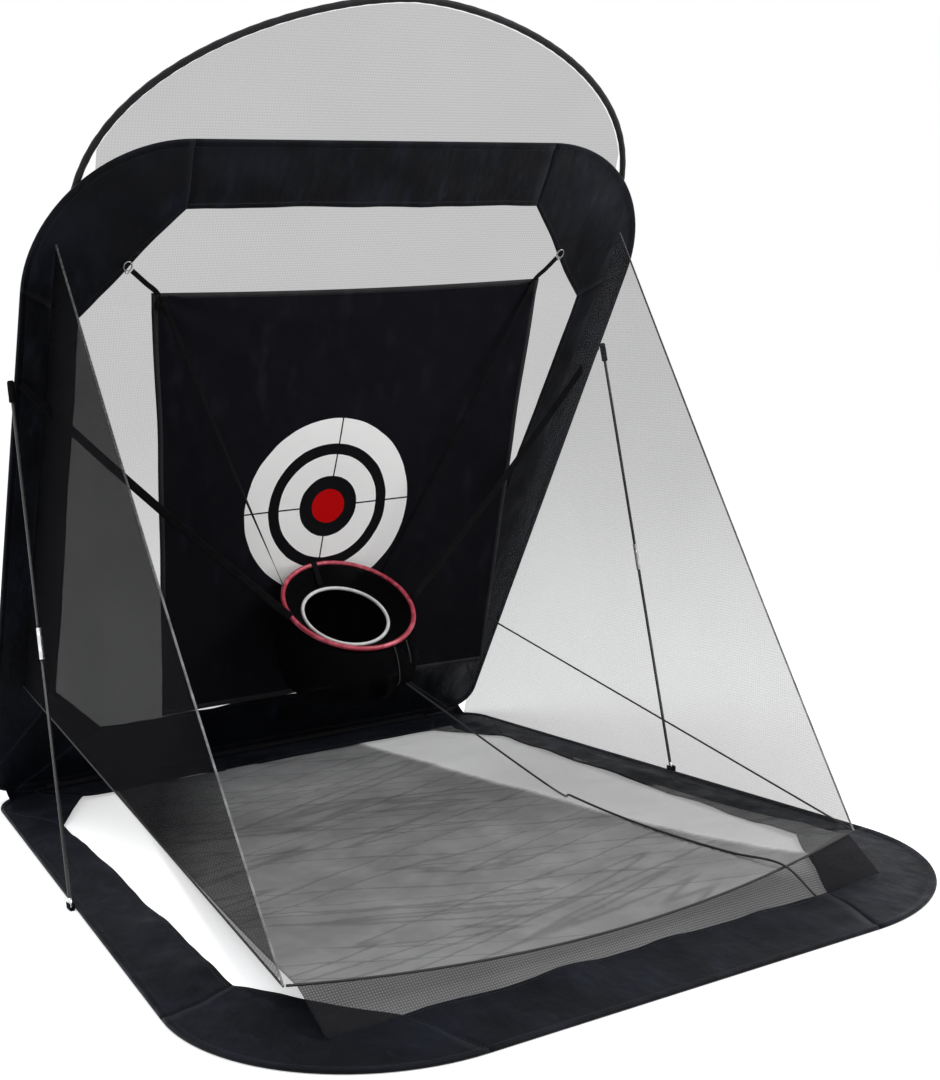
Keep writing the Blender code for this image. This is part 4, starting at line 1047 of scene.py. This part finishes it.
def closed_sheet(surface, around, rows, thick):
    """A thin closed sheet that joins itself round a ring."""
    body = []
    for k in range(around):
        u = k / around
        outer, inner = [], []
        for j in range(rows + 1):
            v = j / rows
            p = surface(u, v)
            du = surface(u + 0.002, v) - surface(u - 0.002, v)
            dv = surface(u, min(v + 0.01, 1)) - surface(u, max(v - 0.01, 0))
            n = du.cross(dv).normalized() * thick / 2
            outer.append(p + n)
            inner.append(p - n)
        body.append([*outer, *inner[::-1]])
    return skin(body, closed=True)


shape = closed_sheet(funnel_surface, 108, 8, BASKET_SKIN)
funnel = dress("basket_funnel", "", BASKET_NET, shape)
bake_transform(funnel)
# Rounds of the bag below the ring: its place to the left, forward and down in bag heights, its radius in ring
# radii, and its tilt in degrees.
BAG_ROUNDS = ((0.03, 0.05, 0.23, 1.06, 22), (0.07, 0.05, 0.48, 1.12, 14), (0.08, 0.03, 0.73, 1.0, 8),
              (0.09, 0.0, 0.90, 0.70, 4), (0.09, 0.0, 0.98, 0.30, 0))


def bag_round(k, outward=0.0):
    """Centre, up axis and radius of one round of the bag; the first hangs under the ring."""
    if k == 0:
        return RING_C - RING_UP * (RING_WIRE_R + SEAT), RING_UP, RING_R + outward
    sx, sy, drop, r, tilt = BAG_ROUNDS[k - 1]
    t = math.radians(tilt)
    centre = RING_C + Vector((-sx * BAG_H, -sy * BAG_H, -drop * BAG_H))
    return centre, Vector((0, -math.sin(t), math.cos(t))), r * RING_R + outward


def bag_surface(u, v):
    """A mesh bag that sags in soft folds: u runs round it, v from the ring to the bottom."""
    k = min(v * 5.0, 4.999)
    i, share = int(k), k - int(k)
    (c0, u0, r0), (c1, u1, r1) = bag_round(i), bag_round(i + 1)
    ease = share * share * (3 - 2 * share) * 0.35 + share * 0.65
    turn = 2 * math.pi * u
    a = circle(c0, u0, r0, 1, X, turn)[0].lerp(circle(c1, u1, r1, 1, X, turn)[0], ease)
    middle = c0.lerp(c1, ease)
    folds = 0.045 * math.sin(2 * math.pi * (u * 9 + 0.15 * math.sin(v * 5))) + 0.03 * math.sin(turn * 5 + 1)
    drawn = folds * smooth(v * 2.2) * (1 - 0.6 * smooth((v - 0.8) * 5))
    return middle + (a - middle) * (1 - 0.03 - abs(drawn) + drawn * 0.4) if v > 0 else a


bag = dress("basket_bag", "basket", BASKET_NET,
            closed_sheet(bag_surface, 180, 44, BASKET_SKIN))
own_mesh(bag)

for side, turn, rounds in (("long", -75, 4), ("short", -60, 3)):
    line = [on_ring(turn, RING_R + RING_WIRE_R + 0.0018, -0.002)]
    for k in range(1, rounds):
        c, up, r = bag_round(k, TIE_OFF_BAG)
        line.append(circle(c, up, r, 1, X, math.radians(turn))[0] + up * 0.001)
    line[-1] = line[-2].lerp(line[-1], 0.4)
    path = resampled(line, 0.004)
    tie = dress(f"basket_tie_{side}", "basket", CORD, twisted(path, TIE_R, 0.005, step=0.0015))
    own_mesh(tie)

# How far the rear strap's middle lies off the ring's wire and above the funnel.
over, above = RING_WIRE_R + 0.0022, 0.0030
slope = math.atan2(FUNNEL_H, WIDE - NARROW)
rear = [(RING_R + over * math.cos(math.radians(a)), over * math.sin(math.radians(a)))
        for a in (20, 45, 70, 95, 120, 145)]
rear += [(WIDE - (WIDE - NARROW) * share - above * math.sin(slope),
          -FUNNEL_H * share + above * math.cos(slope)) for share in (0.12, 0.3, 0.5, 0.7, 0.9)]
strap = ribbon([on_ring(98, r, h) for r, h in rear], [X] * len(rear), THIN_STRAP_W, STRAP_T * 0.7)
dress("basket_rear_strap", "basket", WEBBING, strap)


# ---- hooks and straps
UP_EDGE_X = low_x + (top_x - low_x) * ROD_TOP_V / UP_H      # the upright's side at the rods' tops


def hook_shape(centre, s):
    """A small snap hook in the upright's plane: an open bent wire, its gate and a swivel eye."""
    across, up = X * s, UP_SLOPE
    loop = []
    for k in range(33):
        a = math.radians(-60 + k * 300 / 32)
        loop.append(centre + across * 0.0095 * math.cos(a) + up * (0.0120 * math.sin(a) + 0.001))
    gate = tube([loop[0] + up * 0.0005, loop[-1].lerp(loop[0], 0.12)], 0.0011, 12, X)
    eye = []
    for k in range(24):
        a = 2 * math.pi * k / 24
        eye.append(centre + across * 0.0042 * math.cos(a) - up * (0.0125 + 0.0042 * math.sin(a)))
    return joined(tube(loop, HOOK_WIRE_R, 12, FACE_OUT), gate, tube(eye, 0.0012, 10, FACE_OUT, closed=True))


def hang(side, s):
    """One side's hook, the sheet's strap on it, and the two straps that carry the ring."""
    hook = on_upright(s * HOOK_X, HOOK_V, CLOTH / 2 + SEAT + HOOK_WIRE_R)
    dress(f"hook_{side}", "upright", HOOK_METAL, hook_shape(hook, s))
    proud = NET_T + SEAT + 0.0015
    tab = on_sheet(s * (SHEET_TOP_W / 2 - 0.014), 0.002, proud)
    start = hook + (tab - hook).normalized() * 0.0131
    end = on_sheet(s * (SHEET_TOP_W / 2 - 0.020), 0.035, proud)
    line = resampled([start, start.lerp(tab, 0.5) + SHEET_OUT * 0.001, tab, end], 0.004)
    dress(f"sheet_strap_{side}", "target", WEBBING,
          ribbon(line, [X] * len(line), SHEET_STRAP_W, NET_T))
    box = [(end.lerp(tab, t) + X * w + SHEET_OUT * 0.0007, SHEET_OUT) for t, w in
           ((0.05, -0.0045), (0.9, -0.0045), (0.9, 0.0045), (0.05, 0.0045), (0.9, -0.0045))]
    add(f"sheet_strap_{side}_stitching", "target", THREAD, stitches([box], 0.003, 0.002, 0.00028))

    start = on_sheet(s * (SHEET_TOP_W / 2 - 0.022), 0.010, 0.0066)
    anchor = on_ring(90 - s * 55, RING_R)
    end = anchor + (start - anchor).normalized() * (RING_WIRE_R + SEAT)
    run = (end - start).normalized()
    line = [p + SHEET_OUT * 0.002 for p in sagging(start, end, 0.010)]
    across = (X - X.dot(run) * run).normalized()
    twists = [Matrix.Rotation(math.radians(80) * (k / 40) ** 1.5 * s, 3, run) @ across for k in range(41)]
    top_strap = dress(f"basket_top_strap_{side}", "", WEBBING,
                      ribbon(line, twists, THIN_STRAP_W * 0.75, NET_T))
    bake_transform(top_strap)

    start = on_upright(s * (UP_EDGE_X - 0.006), ROD_TOP_V, HEM_R + 0.0015)
    anchor = on_ring(90 - s * 98, RING_R)
    end = anchor + (start - anchor).normalized() * (RING_WIRE_R + SEAT + 0.0012)
    side_strap = dress(f"basket_side_strap_{side}", "", WEBBING,
                       ribbon(sagging(start, end, 0.012), [Z] * 41, STRAP_W, STRAP_T))
    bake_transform(side_strap)


# ---- prop rods and their pouches
ROD_FOOT_Z, FOOT_CAP_L, POUCH_R = 0.0066, 0.020, 0.008


def prop(side, s):
    """One side's rod of two lengths, with its ferrule, its capped foot and its two pouches."""
    r, thin, own = ROD_R, ROD_R * 0.94, f"brace_{side}"
    foot_x = base_side_x(ROD_FOOT_Y) + HEM_R + ROD_STAND_OFF
    foot = Vector((s * foot_x, DEPTH / 2 - ROD_FOOT_Y, ROD_FOOT_Z))
    tip = on_upright(s * (UP_EDGE_X + HEM_R + SEAT + POUCH_R), ROD_TOP_V)
    rod, length = (tip - foot).normalized(), (tip - foot).length

    def turn(node, body, mat, slot, profile):
        dress(node, body, mat, turned(profile, foot, rod, X))

    low = [(r, FOOT_CAP_L), (thin, FOOT_CAP_L + 0.0005), (thin, length / 2), (0, length / 2),
           (0, FOOT_CAP_L - 0.0005)]
    turn(f"{own}_low_rod", own, ROD, "rod", low)
    cap = [(0, -r), (0.5 * r, -0.866 * r), (0.866 * r, -0.5 * r), (r, 0), (r, FOOT_CAP_L), (0, FOOT_CAP_L)]
    add(f"{own}_foot", own, FERRULE, turned(cap, foot, rod, X))
    half = length / 2 + SEAT / 2
    high = [(0, half), (thin, half), (thin, length - 0.001), (r * 0.7, length), (0, length)]
    turn(f"{own}_high_rod", own, ROD, "rod", high)
    rim = [(r + SEAT, 0.0006), (r + 0.0010, 0), (r + 0.0015, 0.0012), (r + 0.0013, 0.004),
           (r + 0.0013, 0.0165), (r + 0.0007, 0.0175), (r + 0.0013, 0.0185)]
    f0, f1 = length / 2 - FERRULE_L / 2, length / 2 + FERRULE_L / 2
    ferrule = [(x, f0 + h) for x, h in rim] + [(x, f1 - h) for x, h in reversed(rim)]
    turn(f"{own}_ferrule", own, FERRULE, "ferrule", ferrule)
    wall = r + 0.0006
    pouch = [(0, 0.0031), (0.006, 0.0029), (0.0078, -0.001), (POUCH_R, -0.020), (0.0077, -0.034),
             (POUCH_R, -0.043), (0.0072, -0.045), (wall, -0.0445), (wall, SEAT), (0, SEAT)]
    turn(f"pouch_high_{side}", "upright", WEBBING, "webbing", [(x, length + h) for x, h in pouch])

    t, gap = CHANNEL_T, r + SEAT
    outer = [(gap + t, CHANNEL_H), (gap + t, 0.004), (gap + t * 0.3, 0.0006), (gap - 0.002, 0.0)]
    inner = [(gap, CHANNEL_H), (gap, 0.004), (gap - 0.0006, 0.0022), (gap - 0.0022, t)]
    profile = mirrored(outer, (0, 0.0)) + mirrored(inner, (0, t))[::-1]
    floor_z = foot.z - r - SEAT - t
    rows = []
    for k in range(13):
        y = CHANNEL_L * (k / 12 - 0.5)
        puff = 0.0004 * math.cos(y / CHANNEL_L * math.pi)
        rows.append([Vector((foot.x + x + math.copysign(puff, x), foot.y + y, floor_z + z))
                     for x, z in profile])
    dress(f"pouch_low_{side}", "base", WEBBING, skin(rows))


for side, s in SIDES:
    hang(side, s)
    prop(side, s)


# ---- pieces that keep their CAD shape
for node in ("base_hoop", "upright_hoop", "base_crimp"):
    bpy.data.objects[node].data.materials[0] = STEEL
bpy.data.objects["arch_rod"].data.materials[0] = ROD


# ---- floor and light
FLOOR_HALF, FLOOR_GLOW, WORLD_LIGHT = 60, 0.46, 0.62
def showing_white(tree):
    """1 for rays that show the background: from the camera, in gloss and through glass."""
    path = tree.nodes.new("ShaderNodeLightPath")
    total = path.outputs["Is Camera Ray"]
    for name in ("Is Glossy Ray", "Is Transmission Ray"):
        add_up = tree.nodes.new("ShaderNodeMath")
        add_up.operation = "MAXIMUM"
        tree.links.new(total, add_up.inputs[0])
        tree.links.new(path.outputs[name], add_up.inputs[1])
        total = add_up.outputs[0]
    return total


def add_floor():
    mesh = bpy.data.meshes.new("floor")
    corners = [(x * FLOOR_HALF, y * FLOOR_HALF, 0) for x, y in ((-1, -1), (1, -1), (1, 1), (-1, 1))]
    mesh.from_pydata(corners, [], [(0, 1, 2, 3)])
    floor = bpy.data.objects.new("floor", mesh)
    bpy.context.collection.objects.link(floor)
    mat = bpy.data.materials.new("floor")
    mat.use_nodes = True
    tree = mat.node_tree
    shader = tree.nodes["Principled BSDF"]
    shader.inputs["Base Color"].default_value = (0.90, 0.90, 0.90, 1)
    shader.inputs["Roughness"].default_value = 1.0
    shader.inputs["Specular IOR Level"].default_value = 0.0
    shader.inputs["Emission Color"].default_value = (1, 1, 1, 1)
    lift = tree.nodes.new("ShaderNodeMath")
    lift.operation = "MULTIPLY"
    lift.inputs[1].default_value = FLOOR_GLOW
    tree.links.new(showing_white(tree), lift.inputs[0])
    tree.links.new(lift.outputs[0], shader.inputs["Emission Strength"])
    mesh.materials.append(mat)


def add_world():
    world = bpy.data.worlds.new("world")
    world.use_nodes = True
    tree = world.node_tree
    back = tree.nodes["Background"]
    back.inputs["Color"].default_value = (1, 1, 1, 1)
    level = tree.nodes.new("ShaderNodeMapRange")
    level.inputs["To Min"].default_value = WORLD_LIGHT
    level.inputs["To Max"].default_value = 1.0
    tree.links.new(showing_white(tree), level.inputs["Value"])
    tree.links.new(level.outputs[0], back.inputs["Strength"])
    bpy.context.scene.world = world


def add_lamp(name, place, aim, size, power, colour):
    data = bpy.data.lights.new(name, "AREA")
    data.size, data.energy, data.color = size, power, colour
    lamp = bpy.data.objects.new(name, data)
    bpy.context.collection.objects.link(lamp)
    lamp.location = place
    lamp.rotation_euler = (Vector(aim) - Vector(place)).to_track_quat("-Z", "Y").to_euler()


add_floor()
add_world()
add_lamp("key", (3.2, -2.6, 4.4), (0, 0, 0.5), 2.4, 170, (1.0, 0.99, 0.97))
add_lamp("sky", (-2.0, 1.0, 5.0), (0, 0, 0.4), 3.5, 90, (0.90, 0.95, 1.0))
bpy.context.scene.view_settings.view_transform = "Standard"
